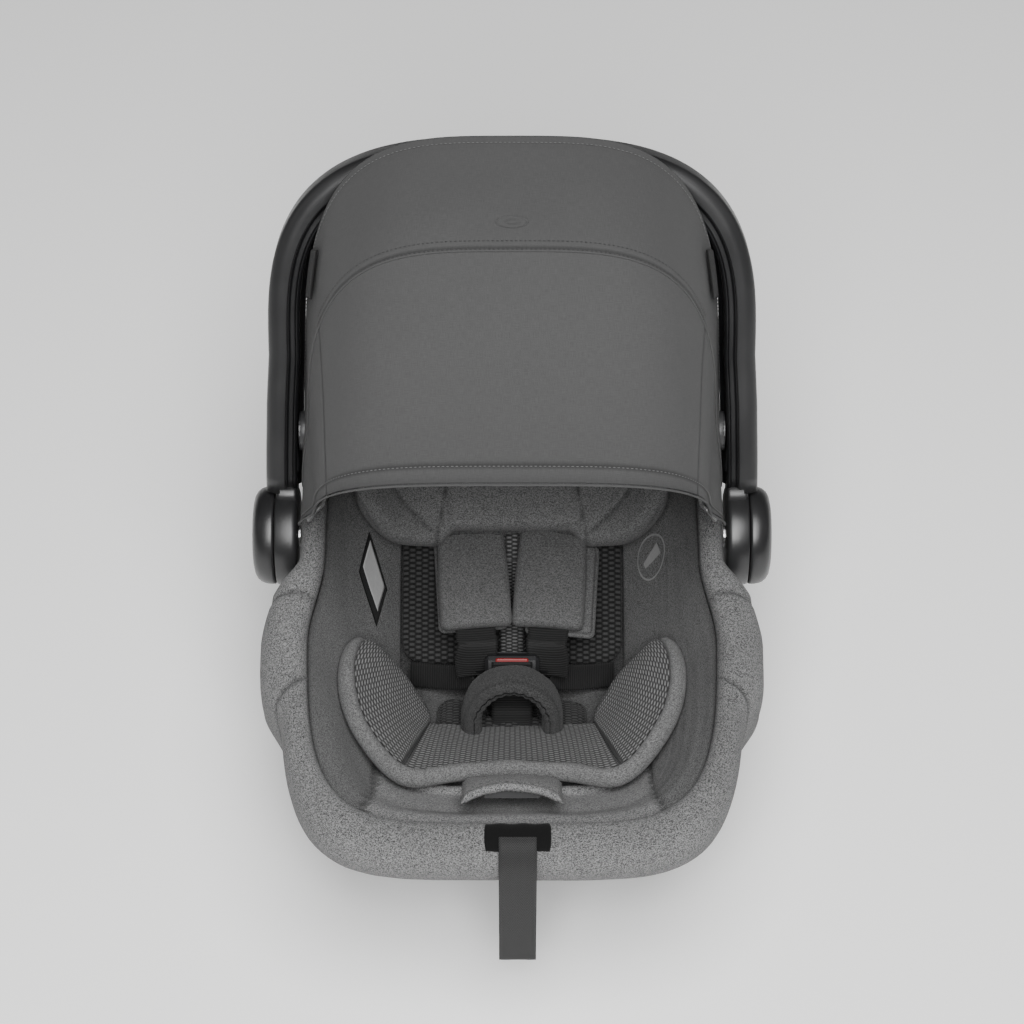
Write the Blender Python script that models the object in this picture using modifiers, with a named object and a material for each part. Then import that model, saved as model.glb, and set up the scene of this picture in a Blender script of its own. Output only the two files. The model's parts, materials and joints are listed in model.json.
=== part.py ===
"""Infant car seat with carry handle, folding canopy, five-point harness and infant insert.

Metres, +Z up, the foot end towards -Y. Shapes are written in the hub frame, whose origin is on
the handle's axis. The empty seat_frame carries that frame to its place above the floor.
"""

import math

import bmesh
import bpy
from mathutils import Matrix, Vector

# ---- driving dimensions (hub frame) ----
HUB_HEIGHT = 0.243        # handle axis above the floor
HUB_BACK = 0.0175         # handle axis behind the middle of the length
FOOT_REACH = 0.328        # rim's foremost point from the axis
HEAD_REACH = 0.298        # rim's rearmost point from the axis
REAR_HALF_WIDTH = 0.178   # rim half width behind the hubs
FRONT_HALF_WIDTH = 0.190  # rim half width in front of the hubs
FOOT_POWER = 5.0          # squareness of the rim outline at the foot end
HEAD_POWER = 3.4          # squareness at the head end
BACK_ANGLE = math.radians(34)     # backrest above the horizontal
SEAT_ANGLE = math.radians(20)     # seat, rising to the foot end
BIGHT = Vector((0.0, -0.060, -0.130))   # where seat and backrest meet
UNDERSIDE = -0.205        # lowest level of the shell
HANDLE_RADIUS = 0.333     # handle axis to the middle of the grip
HANDLE_HALF_WIDTH = 0.1940   # at the hubs
ARCH_HALF_WIDTH = 0.1885     # where the arms run into the arch
HANDLE_LEAN = math.radians(25)    # handle behind the vertical at rest
HUB_RADIUS = 0.042
PIVOT = Vector((0.0, 0.040, 0.086))     # canopy pivot
AROUND = 72               # points round each rim ring

FLARE = 0.0175            # how far the belt guide cover stands out
STEP_DOWN = 0.158         # fall of the rim per metre towards the foot


# ---- scene, materials and small helpers ----
def clear_scene():
    for obj in list(bpy.data.objects):
        bpy.data.objects.remove(obj, do_unlink=True)


def new_collection(name):
    collection = bpy.data.collections.new(name)
    bpy.context.scene.collection.children.link(collection)
    return collection


def make_material(name, colour, roughness, metallic=0.0):
    material = bpy.data.materials.new(name)
    material.use_nodes = True
    shader = material.node_tree.nodes["Principled BSDF"]
    shader.inputs["Base Color"].default_value = (*colour, 1.0)
    shader.inputs["Roughness"].default_value = roughness
    shader.inputs["Metallic"].default_value = metallic
    return material


def make_empty(name, location, parent=None, tilt=0.0):
    empty = bpy.data.objects.new(name, None)
    PARTS.objects.link(empty)
    empty.location = location
    empty.rotation_euler = (tilt, 0.0, 0.0)
    empty.parent = parent
    return empty


def add_part(name, mesh, material, parent, location=(0, 0, 0), smooth=True):
    """One sub-part from a mesh, carried by an empty. The mesh is in the empty's frame."""
    obj = bpy.data.objects.new(name, mesh)
    PARTS.objects.link(obj)
    obj.data.materials.append(material)
    obj.location = location
    obj.parent = parent
    if smooth:
        mesh.shade_smooth()
        mesh.set_sharp_from_angle(angle=math.radians(40))
    return obj


def add_bevel(obj, width, segments=1):
    bevel = obj.modifiers.new("bevel", "BEVEL")
    bevel.width = width
    bevel.segments = segments
    bevel.limit_method = "ANGLE"
    return obj


def box_mesh(size, centre=(0, 0, 0)):
    bm = bmesh.new()
    bmesh.ops.create_cube(bm, size=1.0)
    bmesh.ops.scale(bm, vec=size, verts=bm.verts)
    bmesh.ops.translate(bm, vec=centre, verts=bm.verts)
    return mesh_from(bm)


def rod_mesh(radius, start, end, sides=20):
    """A cylinder between two points."""
    start, end = Vector(start), Vector(end)
    bm = bmesh.new()
    bmesh.ops.create_cone(bm, cap_ends=True, segments=sides, radius1=radius,
                          radius2=radius, depth=(end - start).length)
    turn = Vector((0, 0, 1)).rotation_difference(end - start).to_matrix().to_4x4()
    bmesh.ops.transform(bm, matrix=Matrix.Translation((start + end) / 2) @ turn, verts=bm.verts)
    return mesh_from(bm)


def mesh_from(bm):
    bmesh.ops.recalc_face_normals(bm, faces=bm.faces)
    mesh = bpy.data.meshes.new("mesh")
    bm.to_mesh(mesh)
    bm.free()
    return mesh


def add_box(name, size, centre, material, parent, bevel=0.0):
    obj = add_part(name, box_mesh(size, centre), material, parent, smooth=False)
    return add_bevel(obj, bevel) if bevel else obj


def loft_mesh(rings, closed=True, loop=False, caps=True):
    """Faces between rings of equal length. caps closes the two ends; loop joins last to first."""
    bm = bmesh.new()
    rows = [[bm.verts.new(point) for point in ring] for ring in rings]
    pairs = list(zip(rows, rows[1:] + rows[:1])) if loop else list(zip(rows, rows[1:]))
    for low, high in pairs:
        count = len(low)
        for i in range(count if closed else count - 1):
            j = (i + 1) % count
            bm.faces.new((low[i], low[j], high[j], high[i]))
    if caps and not loop:
        bm.faces.new(rows[0])
        bm.faces.new(rows[-1])
    return mesh_from(bm)


def extruded(name, outline, depth, material, parent, location=(0, 0, 0), turn=(0, 0, 0), bevel=0.0):
    """A flat outline in the curve's XY plane, thickened by depth about that plane."""
    curve = bpy.data.curves.new(name, "CURVE")
    curve.dimensions = "2D"
    curve.fill_mode = "BOTH"
    curve.extrude = depth / 2
    spline = curve.splines.new("POLY")
    spline.points.add(len(outline) - 1)
    for point, (x, y) in zip(spline.points, outline):
        point.co = (x, y, 0, 1)
    spline.use_cyclic_u = True
    obj = bpy.data.objects.new(name, curve)
    PARTS.objects.link(obj)
    obj.data.materials.append(material)
    obj.location = location
    obj.rotation_euler = turn
    obj.parent = parent
    if bevel:
        weld = obj.modifiers.new("weld", "WELD")
        weld.merge_threshold = 0.0001
        add_bevel(obj, bevel)
    return obj


def wire(name, points, radius, material, parent, sides=2):
    """A bent round wire through the points."""
    curve = bpy.data.curves.new(name, "CURVE")
    curve.dimensions = "3D"
    curve.bevel_depth = radius
    curve.bevel_resolution = sides
    curve.use_fill_caps = True
    spline = curve.splines.new("POLY")
    spline.points.add(len(points) - 1)
    for point, place in zip(spline.points, points):
        point.co = (*place, 1)
    obj = bpy.data.objects.new(name, curve)
    PARTS.objects.link(obj)
    obj.data.materials.append(material)
    obj.parent = parent
    return obj


def add_cutter(name, mesh, parent):
    obj = bpy.data.objects.new(name, mesh)
    CUTTERS.objects.link(obj)
    obj.parent = parent
    obj.hide_render = True
    obj.display_type = "WIRE"
    return obj


def boolean(obj, other, operation):
    modifier = obj.modifiers.new(operation.lower(), "BOOLEAN")
    modifier.operation = operation
    modifier.object = other


def ribbon_mesh(path, width, thickness, across=(1, 0, 0)):
    """Flat webbing along a path. across is the direction of its width."""
    across = Vector(across).normalized()
    path = [Vector(p) for p in path]
    rings = []
    for i, point in enumerate(path):
        ahead = path[min(i + 1, len(path) - 1)] - path[max(i - 1, 0)]
        up = across.cross(ahead).normalized()
        side = across * width / 2
        half = up * thickness / 2
        rings.append([point - side - half, point + side - half,
                      point + side + half, point - side + half])
    return loft_mesh(rings)


def mix(a, b, share):
    return a + (b - a) * share


def smooth_step(value, low, high):
    share = min(max((value - low) / (high - low), 0.0), 1.0)
    return share * share * (3 - 2 * share)


def round_max(a, b, softness):
    """The larger of two values, with a rounded corner where they cross."""
    return (a + b) / 2 + math.sqrt(((a - b) / 2) ** 2 + softness ** 2)


# ---- the bucket: outline rings that every layer shares ----
def rim_height(y):
    lift = 0.023 * (max(y, 0.0) / HEAD_REACH) ** 2
    return 0.030 + STEP_DOWN * y + lift


def rim_half_width(y):
    if y < 0:
        return mix(REAR_HALF_WIDTH, FRONT_HALF_WIDTH, smooth_step(-y, 0.045, 0.125))
    return REAR_HALF_WIDTH - 0.016 * (y / HEAD_REACH) ** 2


def seat_level(y):
    """Height of the seat and backrest on the middle plane."""
    seat = BIGHT.z - (y - BIGHT.y) * math.tan(SEAT_ANGLE)
    back = BIGHT.z + (y - BIGHT.y) * math.tan(BACK_ANGLE)
    return round_max(seat, back, 0.006)


def under_level(y):
    """Height of the shell's underside on the middle plane."""
    head = UNDERSIDE + (y - 0.05) * math.tan(math.radians(33))
    foot = UNDERSIDE - (y + 0.16) * math.tan(math.radians(24))
    return round_max(round_max(UNDERSIDE, head, 0.004), foot, 0.004)


def belt_flare(y):
    """Share of the side flare that covers the belt guide."""
    return smooth_step(-y, 0.044, 0.078) * (1 - smooth_step(-y, 0.158, 0.205))


def outline(t, side_inset, foot_inset, head_inset=None, bulge=0.0):
    """Plan position at angle t of a rounded rectangle set in from the rim's outermost line."""
    cosine, sine = math.cos(t), math.sin(t)
    head_inset = foot_inset if head_inset is None else head_inset
    power = FOOT_POWER if sine < 0 else HEAD_POWER
    stretch = (abs(cosine) ** power + abs(sine) ** power) ** (-1 / power)
    reach = FOOT_REACH - foot_inset if sine < 0 else HEAD_REACH - head_inset
    y = reach * sine * stretch
    x = (rim_half_width(y) - side_inset + bulge * belt_flare(y)) * cosine * stretch
    return x, y


def ring(side_inset, foot_inset, height, head_inset=None, bulge=0.0):
    """A closed ring of points. height gives z from y."""
    points = []
    for i in range(AROUND):
        x, y = outline(2 * math.pi * i / AROUND, side_inset, foot_inset, head_inset, bulge)
        points.append((x, y, height(y)))
    return points


def rim_plus(offset):
    return lambda y: rim_height(y) + offset


def between(high, low, share):
    return lambda y: mix(high(y), low(y), share)


def floor_rings(side_inset, foot_inset, head_inset, level):
    """Shrinking rings that close a bowl's floor, all at the level that y gives."""
    rings = []
    for shrink in (0.72, 0.44, 0.16):
        points = []
        for i in range(AROUND):
            x, y = outline(2 * math.pi * i / AROUND, side_inset, foot_inset, head_inset)
            points.append((x * shrink, y * shrink, level(y * shrink)))
        rings.append(points)
    return rings


def inner_bowl(out=0.0, drop=0.0, top=-0.010):
    """The inner surface of the seat, moved outwards by out and down by drop."""
    floor_y = lambda y: seat_level(y) - drop
    steps = ((0.0, 0.022, 0.035, 0.035), (0.30, 0.036, 0.052, 0.041),
             (0.58, 0.053, 0.071, 0.048), (0.82, 0.071, 0.094, 0.055), (1.0, 0.086, 0.116, 0.063))
    rings = []
    for share, side, foot, head in steps:
        spread = out * (0.45 + 0.55 * share ** 0.5) if share else out * 0.45
        level = between(rim_plus(top), floor_y, share)
        rings.append(ring(side - spread, foot - spread, level, head - spread))
    return rings + floor_rings(0.086 - out, 0.116 - out, 0.063 - out, floor_y)


def outer_bowl(inset=0.0, lift=0.0, top=-0.014):
    """The outer surface of the shell, moved inwards by inset and up by lift."""
    floor_y = lambda y: under_level(y) + lift
    upper = rim_plus(-0.060)
    rings = [ring(0.0045 + inset, 0.0045 + inset, rim_plus(top)),
             ring(0.0060 + inset, 0.0310 + inset, upper, 0.0090 + inset)]
    for share, side, foot, head in ((0.50, 0.022, 0.051, 0.032), (0.85, 0.044, 0.080, 0.058),
                                    (1.0, 0.066, 0.106, 0.084)):
        rings.append(ring(side + inset, foot + inset, between(upper, floor_y, share), head + inset))
    return rings + floor_rings(0.066 + inset, 0.106 + inset, 0.084 + inset, floor_y)


def bowl_mesh(outer, inner):
    """A closed wall between two open bowls of equal ring counts."""
    bm = bmesh.new()

    def skin(rings):
        rows = [[bm.verts.new(point) for point in points] for points in rings]
        for low, high in zip(rows, rows[1:]):
            for i in range(AROUND):
                j = (i + 1) % AROUND
                bm.faces.new((low[i], low[j], high[j], high[i]))
        middle = sum((v.co for v in rows[-1]), Vector()) / AROUND
        centre = bm.verts.new(middle)
        for i in range(AROUND):
            bm.faces.new((rows[-1][i], rows[-1][(i + 1) % AROUND], centre))
        return rows[0]

    outside = skin(outer)
    inside = skin(inner)
    for i in range(AROUND):
        j = (i + 1) % AROUND
        bm.faces.new((outside[i], outside[j], inside[j], inside[i]))
    return mesh_from(bm)


def make_bucket():
    add_part("shell", bowl_mesh(outer_bowl(), outer_bowl(inset=0.003, lift=0.003)),
             SHELL_PLASTIC, FRAME)
    add_part("foam_liner", bowl_mesh(inner_bowl(out=0.0205, drop=0.024, top=-0.013),
                                     inner_bowl(out=0.0080, drop=0.007, top=-0.011)), FOAM, FRAME)
    add_part("inner_cover", bowl_mesh(inner_bowl(out=0.0065, drop=0.005, top=-0.010),
                                      inner_bowl()), INNER_FABRIC, FRAME)
    # side inset, foot inset, head inset, height above the rim line, share of the belt flare
    section = ((0.021, 0.034, 0.034, -0.006, 0), (0.021, 0.034, 0.034, 0.002, 0),
               (0.012, 0.020, 0.020, 0.010, 0), (0.003, 0.005, 0.005, 0.003, 0.5),
               (0.0, 0.0, 0.0, -0.016, 1), (0.001, 0.0240, 0.001, -0.055, 1),
               (0.0035, 0.0265, 0.0035, -0.055, 1), (0.0028, 0.0030, 0.0030, -0.016, 0.9),
               (0.0075, 0.0085, 0.0085, -0.007, 0.4))
    rings = [ring(side, foot, rim_plus(height), head, FLARE * share)
             for side, foot, head, height, share in section]
    add_part("rim_cover", loft_mesh(rings, loop=True), RIM_FABRIC, FRAME)


# ---- base ----
def make_base():
    top = [(y / 1000, under_level(y / 1000) - 0.0015) for y in range(190, -200, -20)]
    tread = [(-0.196, -0.212), (-0.170, -0.232), (-0.120, -0.2418), (-0.085, -0.243),
             (0.105, -0.243), (0.140, -0.2405), (0.178, -0.222), (0.202, -0.150)] + top
    for side, x in (("left", -0.100), ("right", 0.100)):
        extruded(f"runner_{side}", tread, 0.024, BASE_PLASTIC, FRAME,
                 location=(x, 0, 0), turn=(math.pi / 2, 0, math.pi / 2))
    for name, y in (("latch_bar_front", -0.130), ("latch_bar_rear", 0.118)):
        add_part(name, rod_mesh(0.005, (-0.0872, y, -0.226), (0.0872, y, -0.226), 14), STEEL, FRAME)
    hook = make_empty("latch_hook_axis", (0, 0.118, -0.226), FRAME)
    arc = [(0.0095 * math.cos(a), 0.0095 * math.sin(a))
           for a in (math.radians(d) for d in range(-90, 91, 30))]
    shape = arc + [(-0.018, 0.0095), (-0.034, 0.004), (-0.034, -0.009), (-0.027, -0.009),
                   (-0.026, -0.003), (-0.018, -0.004)]
    plate = extruded("latch_hook", shape, 0.012, STEEL, hook, turn=(math.pi / 2, 0, math.pi / 2))
    cut_curve(plate, rod_mesh(0.0056, (-0.02, 0, 0), (0.02, 0, 0), 14), hook, "latch_hook_bore")
    lever = make_empty("release_lever_axis", (0, 0.2625, -0.0393), FRAME, math.radians(-28))
    add_box("release_lever", (0.104, 0.012, 0.034), (0, 0.0, 0.0), TRIM_PLASTIC, lever, 0.003)


def cut_curve(obj, cutter_mesh, parent, cutter_name):
    """Makes an extruded outline a mesh, then bores it."""
    bpy.context.view_layer.update()
    graph = bpy.context.evaluated_depsgraph_get()
    mesh = bpy.data.meshes.new_from_object(obj.evaluated_get(graph))
    name, matrix, carrier = obj.name, obj.matrix_local.copy(), obj.parent
    material = obj.data.materials[0]
    bm = bmesh.new()
    bm.from_mesh(mesh)
    bmesh.ops.remove_doubles(bm, verts=bm.verts, dist=0.00005)
    bmesh.ops.transform(bm, matrix=matrix, verts=bm.verts)
    bpy.data.objects.remove(obj, do_unlink=True)
    solid = add_part(name, mesh_from(bm), material, carrier)
    boolean(solid, add_cutter(cutter_name, cutter_mesh, parent), "DIFFERENCE")
    return solid


# ---- handle, hubs and their locks ----
def handle_path(count=30, straight_from=0.0445):
    """Centre line in the handle's plane, as (x, r, outward x, outward r)."""
    arch_base = 0.165
    points = []
    arms = ((straight_from, HANDLE_HALF_WIDTH), (0.080, HANDLE_HALF_WIDTH - 0.0008),
            (0.122, HANDLE_HALF_WIDTH - 0.0025))
    for r, x in arms:
        points.append((-x, r, -1.0, 0.0))
    for i in range(count + 1):
        angle = math.pi * (1 - i / count)
        cosine, sine = math.cos(angle), math.sin(angle)
        power = 3.15
        stretch = (abs(cosine) ** power + abs(sine) ** power) ** (-1 / power)
        across, along = cosine * stretch, sine * stretch
        normal = Vector((math.copysign(abs(across) ** (power - 1), across) / ARCH_HALF_WIDTH,
                         abs(along) ** (power - 1) / (HANDLE_RADIUS - arch_base))).normalized()
        points.append((ARCH_HALF_WIDTH * across, arch_base + (HANDLE_RADIUS - arch_base) * along,
                       normal.x, normal.y))
    for r, x in reversed(arms):
        points.append((x, r, 1.0, 0.0))
    return points


def handle_strip(inner, outer, depth, chamfer):
    """A bar of rounded section between two offsets from the handle's centre line."""
    section = ((inner, -depth / 2 + chamfer), (inner, depth / 2 - chamfer),
               (inner + chamfer, depth / 2), (outer - chamfer, depth / 2),
               (outer, depth / 2 - chamfer), (outer, -depth / 2 + chamfer),
               (outer - chamfer, -depth / 2), (inner + chamfer, -depth / 2))
    rings = [[(x + out_x * offset, along, r + out_r * offset) for offset, along in section]
             for x, r, out_x, out_r in handle_path()]
    return loft_mesh(rings)


def make_handle():
    axis = make_empty("handle_axis", (0, 0, 0), FRAME, -HANDLE_LEAN)
    frame = add_part("handle_frame", handle_strip(-0.0130, 0.0058, 0.034, 0.005), HANDLE_PLASTIC, axis)
    add_part("handle_cover", handle_strip(0.0063, 0.0135, 0.034, 0.003), COVER_PLASTIC, axis)
    for side, sign in (("left", -1), ("right", 1)):
        disc = add_cutter(f"hub_disc_{side}", rod_mesh(HUB_RADIUS, (sign * 0.1815, 0, 0),
                                                       (sign * 0.2003, 0, 0), 40), axis)
        neck = add_cutter(f"hub_neck_{side}", box_mesh((0.0175, 0.034, 0.040),
                                                       (sign * 0.1902, 0, 0.036)), axis)
        well = add_cutter(f"hub_well_{side}", rod_mesh(0.0305, (sign * 0.1880, 0, 0),
                                                       (sign * 0.2100, 0, 0), 32), axis)
        bore = add_cutter(f"hub_bore_{side}", rod_mesh(0.0105, (sign * 0.1700, 0, 0),
                                                       (sign * 0.2100, 0, 0), 20), axis)
        slot = add_cutter(f"button_well_{side}", box_mesh((0.0100, 0.0140, 0.0400),
                                                          (sign * 0.1845, 0, 0.080)), axis)
        boolean(frame, disc, "UNION")
        boolean(frame, neck, "UNION")
        for cutter in (well, bore, slot):
            boolean(frame, cutter, "DIFFERENCE")
        add_part(f"handle_axle_{side}", rod_mesh(0.0100, (sign * 0.1800, 0, 0),
                                                 (sign * 0.2000, 0, 0)), STEEL, FRAME)
        make_lock_gear(side, sign, axis)
        make_hub_cap(side, sign, axis)
        add_box(f"handle_button_{side}", (0.0040, 0.0125, 0.0385), (sign * 0.1833, 0, 0.080),
                TRIM_PLASTIC, axis, 0.0015)


def make_lock_gear(side, sign, axis):
    """A toothed ring round the axle, in the hub's well."""
    teeth = 18
    rings = []
    for radius_scale, x in ((1.0, 0.1940), (1.0, 0.1992)):
        points = []
        for i in range(teeth * 2):
            radius = (0.0295 if i % 2 else 0.0262) * radius_scale
            angle = math.pi * i / teeth
            points.append((sign * x, radius * math.cos(angle), radius * math.sin(angle)))
        rings.append(points)
    gear = add_part(f"lock_gear_{side}", loft_mesh(rings), BRASS_YELLOW, axis)
    bore = add_cutter(f"lock_gear_bore_{side}", rod_mesh(0.0106, (sign * 0.18, 0, 0),
                                                         (sign * 0.21, 0, 0)), axis)
    boolean(gear, bore, "DIFFERENCE")


def make_hub_cap(side, sign, axis):
    """A dished cap, turned about the handle's axis."""
    profile = ((0.0, 0.2006), (0.0418, 0.2006), (0.0418, 0.2090), (0.0370, 0.2150),
               (0.0250, 0.2186), (0.0, 0.2200))
    bm = bmesh.new()
    verts = [bm.verts.new((0, r, x)) for r, x in profile]
    edges = [bm.edges.new(pair) for pair in zip(verts, verts[1:])]
    bmesh.ops.spin(bm, geom=verts + edges, cent=(0, 0, 0), axis=(0, 0, 1), dvec=(0, 0, 0),
                   angle=2 * math.pi, steps=32, use_merge=True)
    bmesh.ops.remove_doubles(bm, verts=bm.verts, dist=0.00002)
    turn = Matrix.Rotation(sign * math.pi / 2, 4, "Y")
    bmesh.ops.transform(bm, matrix=turn, verts=bm.verts)
    add_part(f"hub_cap_{side}", mesh_from(bm), HANDLE_PLASTIC, axis)


# ---- canopy ----
CANOPY_POWER = 3.6   # squareness of the canopy's arch
RIB_POINTS = 22
BASE_HALF_WIDTH = 0.1757  # every arch widens to this at its ends


def rib(base, top, half_width, inset=0.0):
    """An arch from the left side over the top to the right, in the hub frame.

    base and top are (y, z) places on the side and on the crown."""
    points = []
    for i in range(RIB_POINTS + 1):
        angle = math.pi * (1 - i / RIB_POINTS)
        cosine, sine = math.cos(angle), math.sin(angle)
        stretch = (abs(cosine) ** CANOPY_POWER + abs(sine) ** CANOPY_POWER) ** (-1 / CANOPY_POWER)
        height = sine * stretch
        y = mix(base[0], top[0], height)
        z = mix(base[1], top[1], height)
        flare = (BASE_HALF_WIDTH / half_width - 1) * (1 - smooth_step(height, 0.0, 0.35))
        x = half_width * cosine * stretch * (1 + flare)
        if inset:
            inward = Vector((x / half_width ** 2, (top[0] - base[0]) * height * 20,
                             (top[1] - base[1]) * height * 20))
            inward = inward.normalized() if inward.length else Vector((1, 0, 0))
            x, y, z = Vector((x, y, z)) - inward * inset
        points.append(Vector((x, y, z)))
    return points


# Each rib's (side, crown) places, from the hem back to the crest.
RIBS = (((-0.040, 0.060), (-0.120, 0.190)),
        ((-0.030, 0.058), (-0.092, 0.250)),
        ((-0.015, 0.056), (-0.050, 0.300)),
        ((0.006, 0.056), (-0.002, 0.332)),
        ((0.030, 0.056), (0.045, 0.347)),
        ((0.060, 0.062), (0.104, 0.352)))
HEM_HALF_WIDTH = 0.1610
CREST_HALF_WIDTH = 0.1715


def sheet_mesh(ribs_out, ribs_in):
    """A thin closed sheet between two sets of ribs."""
    rings = [list(out) + list(reversed(inn)) for out, inn in zip(ribs_out, ribs_in)]
    return loft_mesh(rings)


def rib_at(position, inset=0.0):
    """A rib between the listed ones. position 0 is the hem and 5 is the crest."""
    index = min(int(position), len(RIBS) - 2)
    share = position - index
    base = [mix(a, b, share) for a, b in zip(RIBS[index][0], RIBS[index + 1][0])]
    top = [mix(a, b, share) for a, b in zip(RIBS[index][1], RIBS[index + 1][1])]
    return rib(base, top, mix(HEM_HALF_WIDTH, CREST_HALF_WIDTH, position / 5), inset)


def back_panel_ribs(inset):
    """From the crest, down under the grip, to the head end of the rim."""
    crest = rib_at(5.0, inset)
    rings = []
    for step in (0.018, 0.14, 0.30, 0.50, 0.75, 1.0):
        points = []
        for i, corner in enumerate(crest):
            start = corner + Vector((0, 0.0010, 0))
            angle = math.pi * (1 - i / RIB_POINTS)
            x, y = outline(angle, 0.0030 + inset, 0.0, 0.016 + inset)
            y = max(y, 0.066)
            end = Vector((x, y, rim_height(y) + 0.0125))
            sag = max(math.sin(angle), 0.0)
            first = start + Vector((0, -0.019, -0.112)) * sag
            last = end + Vector((0, -0.055, 0.052)) * sag
            points.append(start * (1 - step) ** 3 + first * 3 * step * (1 - step) ** 2
                          + last * 3 * step ** 2 * (1 - step) + end * step ** 3)
        rings.append(points)
    return rings


def make_canopy():
    cloth = 0.0020
    front = (0.0, 1.0, 2.0, 2.98)
    upper = (3.02, 4.0, 5.0)
    front_panel = sheet_mesh([rib_at(p) for p in front], [rib_at(p, cloth) for p in front])
    add_part("canopy_front_panel", front_panel, CANOPY_FABRIC, FRAME)
    top_panel = sheet_mesh([rib_at(p) for p in upper], [rib_at(p, cloth) for p in upper])
    top = add_part("canopy_top_panel", top_panel, CANOPY_FABRIC, FRAME)
    hole = add_cutter("canopy_pin_hole", rod_mesh(0.0060, (-0.19, PIVOT.y, PIVOT.z),
                                                  (0.19, PIVOT.y, PIVOT.z), 12), FRAME)
    boolean(top, hole, "DIFFERENCE")
    back_panel = sheet_mesh(back_panel_ribs(0.0), back_panel_ribs(cloth))
    add_part("canopy_back_panel", back_panel, CANOPY_FABRIC, FRAME)
    make_bows()
    make_brackets()


def bow_points(position, inset, pivot_x, stand_off):
    """From the left pivot, along the inside of a rib, to the right pivot."""
    arch = rib_at(position, inset)
    kept = [point for point in arch if (point - Vector((point.x, *PIVOT.yz))).length > 0.030]
    kept = [point for point in kept if abs(point.x) < pivot_x - 0.0005 or point.z > PIVOT.z + 0.02
            or point.y < PIVOT.y - 0.05]
    lead = (kept[0] - Vector((kept[0].x, *PIVOT.yz))).normalized() * stand_off
    start = Vector((-pivot_x, PIVOT.y + lead.y, PIVOT.z + lead.z))
    end = Vector((pivot_x, start.y, start.z))
    return [start] + kept + [end]


def make_bows():
    bows = (("canopy_front_bow", 0.25, 0.0075, 0.1675), ("canopy_mid_bow", 2.95, 0.0075, 0.1605),
            ("canopy_rear_bow", 4.9, 0.0075, 0.1535))
    for name, position, inset, pivot_x in bows:
        carrier = FRAME if name == "canopy_rear_bow" else make_empty(f"{name}_axis", PIVOT, FRAME)
        points = bow_points(position, inset, pivot_x, 0.0075)
        if carrier is not FRAME:
            points = [point - PIVOT for point in points]
        wire(name, points, 0.0022, STEEL, carrier, 1)


def make_brackets():
    """Pin and clip at the canopy's pivot, on an arm that stands on the rim."""
    for side, sign in (("left", -1), ("right", 1)):
        pin = rod_mesh(0.0040, (sign * 0.1500, PIVOT.y, PIVOT.z), (sign * 0.1775, PIVOT.y, PIVOT.z), 12)
        bracket = add_part(f"canopy_bracket_{side}", pin, TRIM_PLASTIC, FRAME)
        clip = add_cutter(f"clip_{side}", rod_mesh(0.0165, (sign * 0.1760, PIVOT.y, PIVOT.z),
                                                   (sign * 0.1782, PIVOT.y, PIVOT.z), 24), FRAME)
        arm = add_cutter(f"bracket_arm_{side}", box_mesh((0.0036, 0.018, 0.058),
                                                         (sign * 0.1490, PIVOT.y, 0.069)), FRAME)
        foot = add_cutter(f"bracket_foot_{side}", box_mesh((0.0170, 0.030, 0.0036),
                                                           (sign * 0.1557, PIVOT.y, 0.0530)), FRAME)
        for piece in (clip, arm, foot):
            boolean(bracket, piece, "UNION")


# ---- backrest, headrest and harness, on the backrest plane ----
def make_back():
    """The tilted frame's y runs up the backrest and its z stands out from it."""
    back = make_empty("backrest_plane", BIGHT, FRAME, BACK_ANGLE)
    add_box("back_pad", (0.176, 0.252, 0.0085), (0, 0.162, 0.0087), KNIT, back, 0.003)
    slide = make_empty("headrest_slide", (0, 0.140, 0.0262), back)
    add_box("headrest_carrier", (0.112, 0.118, 0.0040), (0, 0.066, 0.0), TRIM_PLASTIC, slide)
    add_box("headrest_lever", (0.050, 0.020, 0.0120), (0, 0.137, 0.004), TRIM_PLASTIC, slide, 0.002)
    wings = [(-0.058, 0.003), (0.058, 0.003), (0.080, 0.010), (0.098, 0.030), (0.110, 0.060), (0.104, 0.068),
             (0.092, 0.064), (0.076, 0.038), (0.056, 0.028), (-0.056, 0.028), (-0.076, 0.038),
             (-0.092, 0.064), (-0.104, 0.068), (-0.110, 0.060), (-0.098, 0.030), (-0.080, 0.010)]
    extruded("headrest_pad", wings, 0.122, INNER_FABRIC, slide, location=(0, 0.063, 0),
             turn=(math.pi / 2, 0, 0), bevel=0.003)
    for side, sign in (("left", -1), ("right", 1)):
        make_shoulder(side, sign, back)
    return back


# Shoulder strap line, in the backrest frame: along the backrest and out from it.
SLOT = (0.165, 0.0155)
TONGUE = (0.0283, 0.0706)
PAD_SIZE = (0.058, 0.092, 0.016)
STRAPS_APART = 0.0335


def make_shoulder(side, sign, back):
    """A padded sleeve and the webbing that runs through it to the buckle tongue."""
    reach, rise = SLOT[0] - TONGUE[0], TONGUE[1] - SLOT[1]
    along = 0.576
    line = make_empty(f"shoulder_line_{side}", (sign * STRAPS_APART, SLOT[0] - along * reach,
                                                SLOT[1] + along * rise), back, -math.atan2(rise, reach))
    line.rotation_euler.z = -sign * math.radians(4)
    pad = add_part(f"shoulder_pad_{side}", box_mesh(PAD_SIZE), KNIT, line, smooth=False)
    add_bevel(pad, 0.004)
    tunnel = add_cutter(f"shoulder_tunnel_{side}", box_mesh((0.042, PAD_SIZE[1] + 0.02, 0.0050)), line)
    boolean(pad, tunnel, "DIFFERENCE")
    length = math.hypot(reach, rise)
    add_part(f"shoulder_strap_{side}", ribbon_mesh(((0, length * along, 0), (0, -length * (1 - along), 0)),
                                                   0.034, 0.0014), WEBBING, line)


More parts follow.
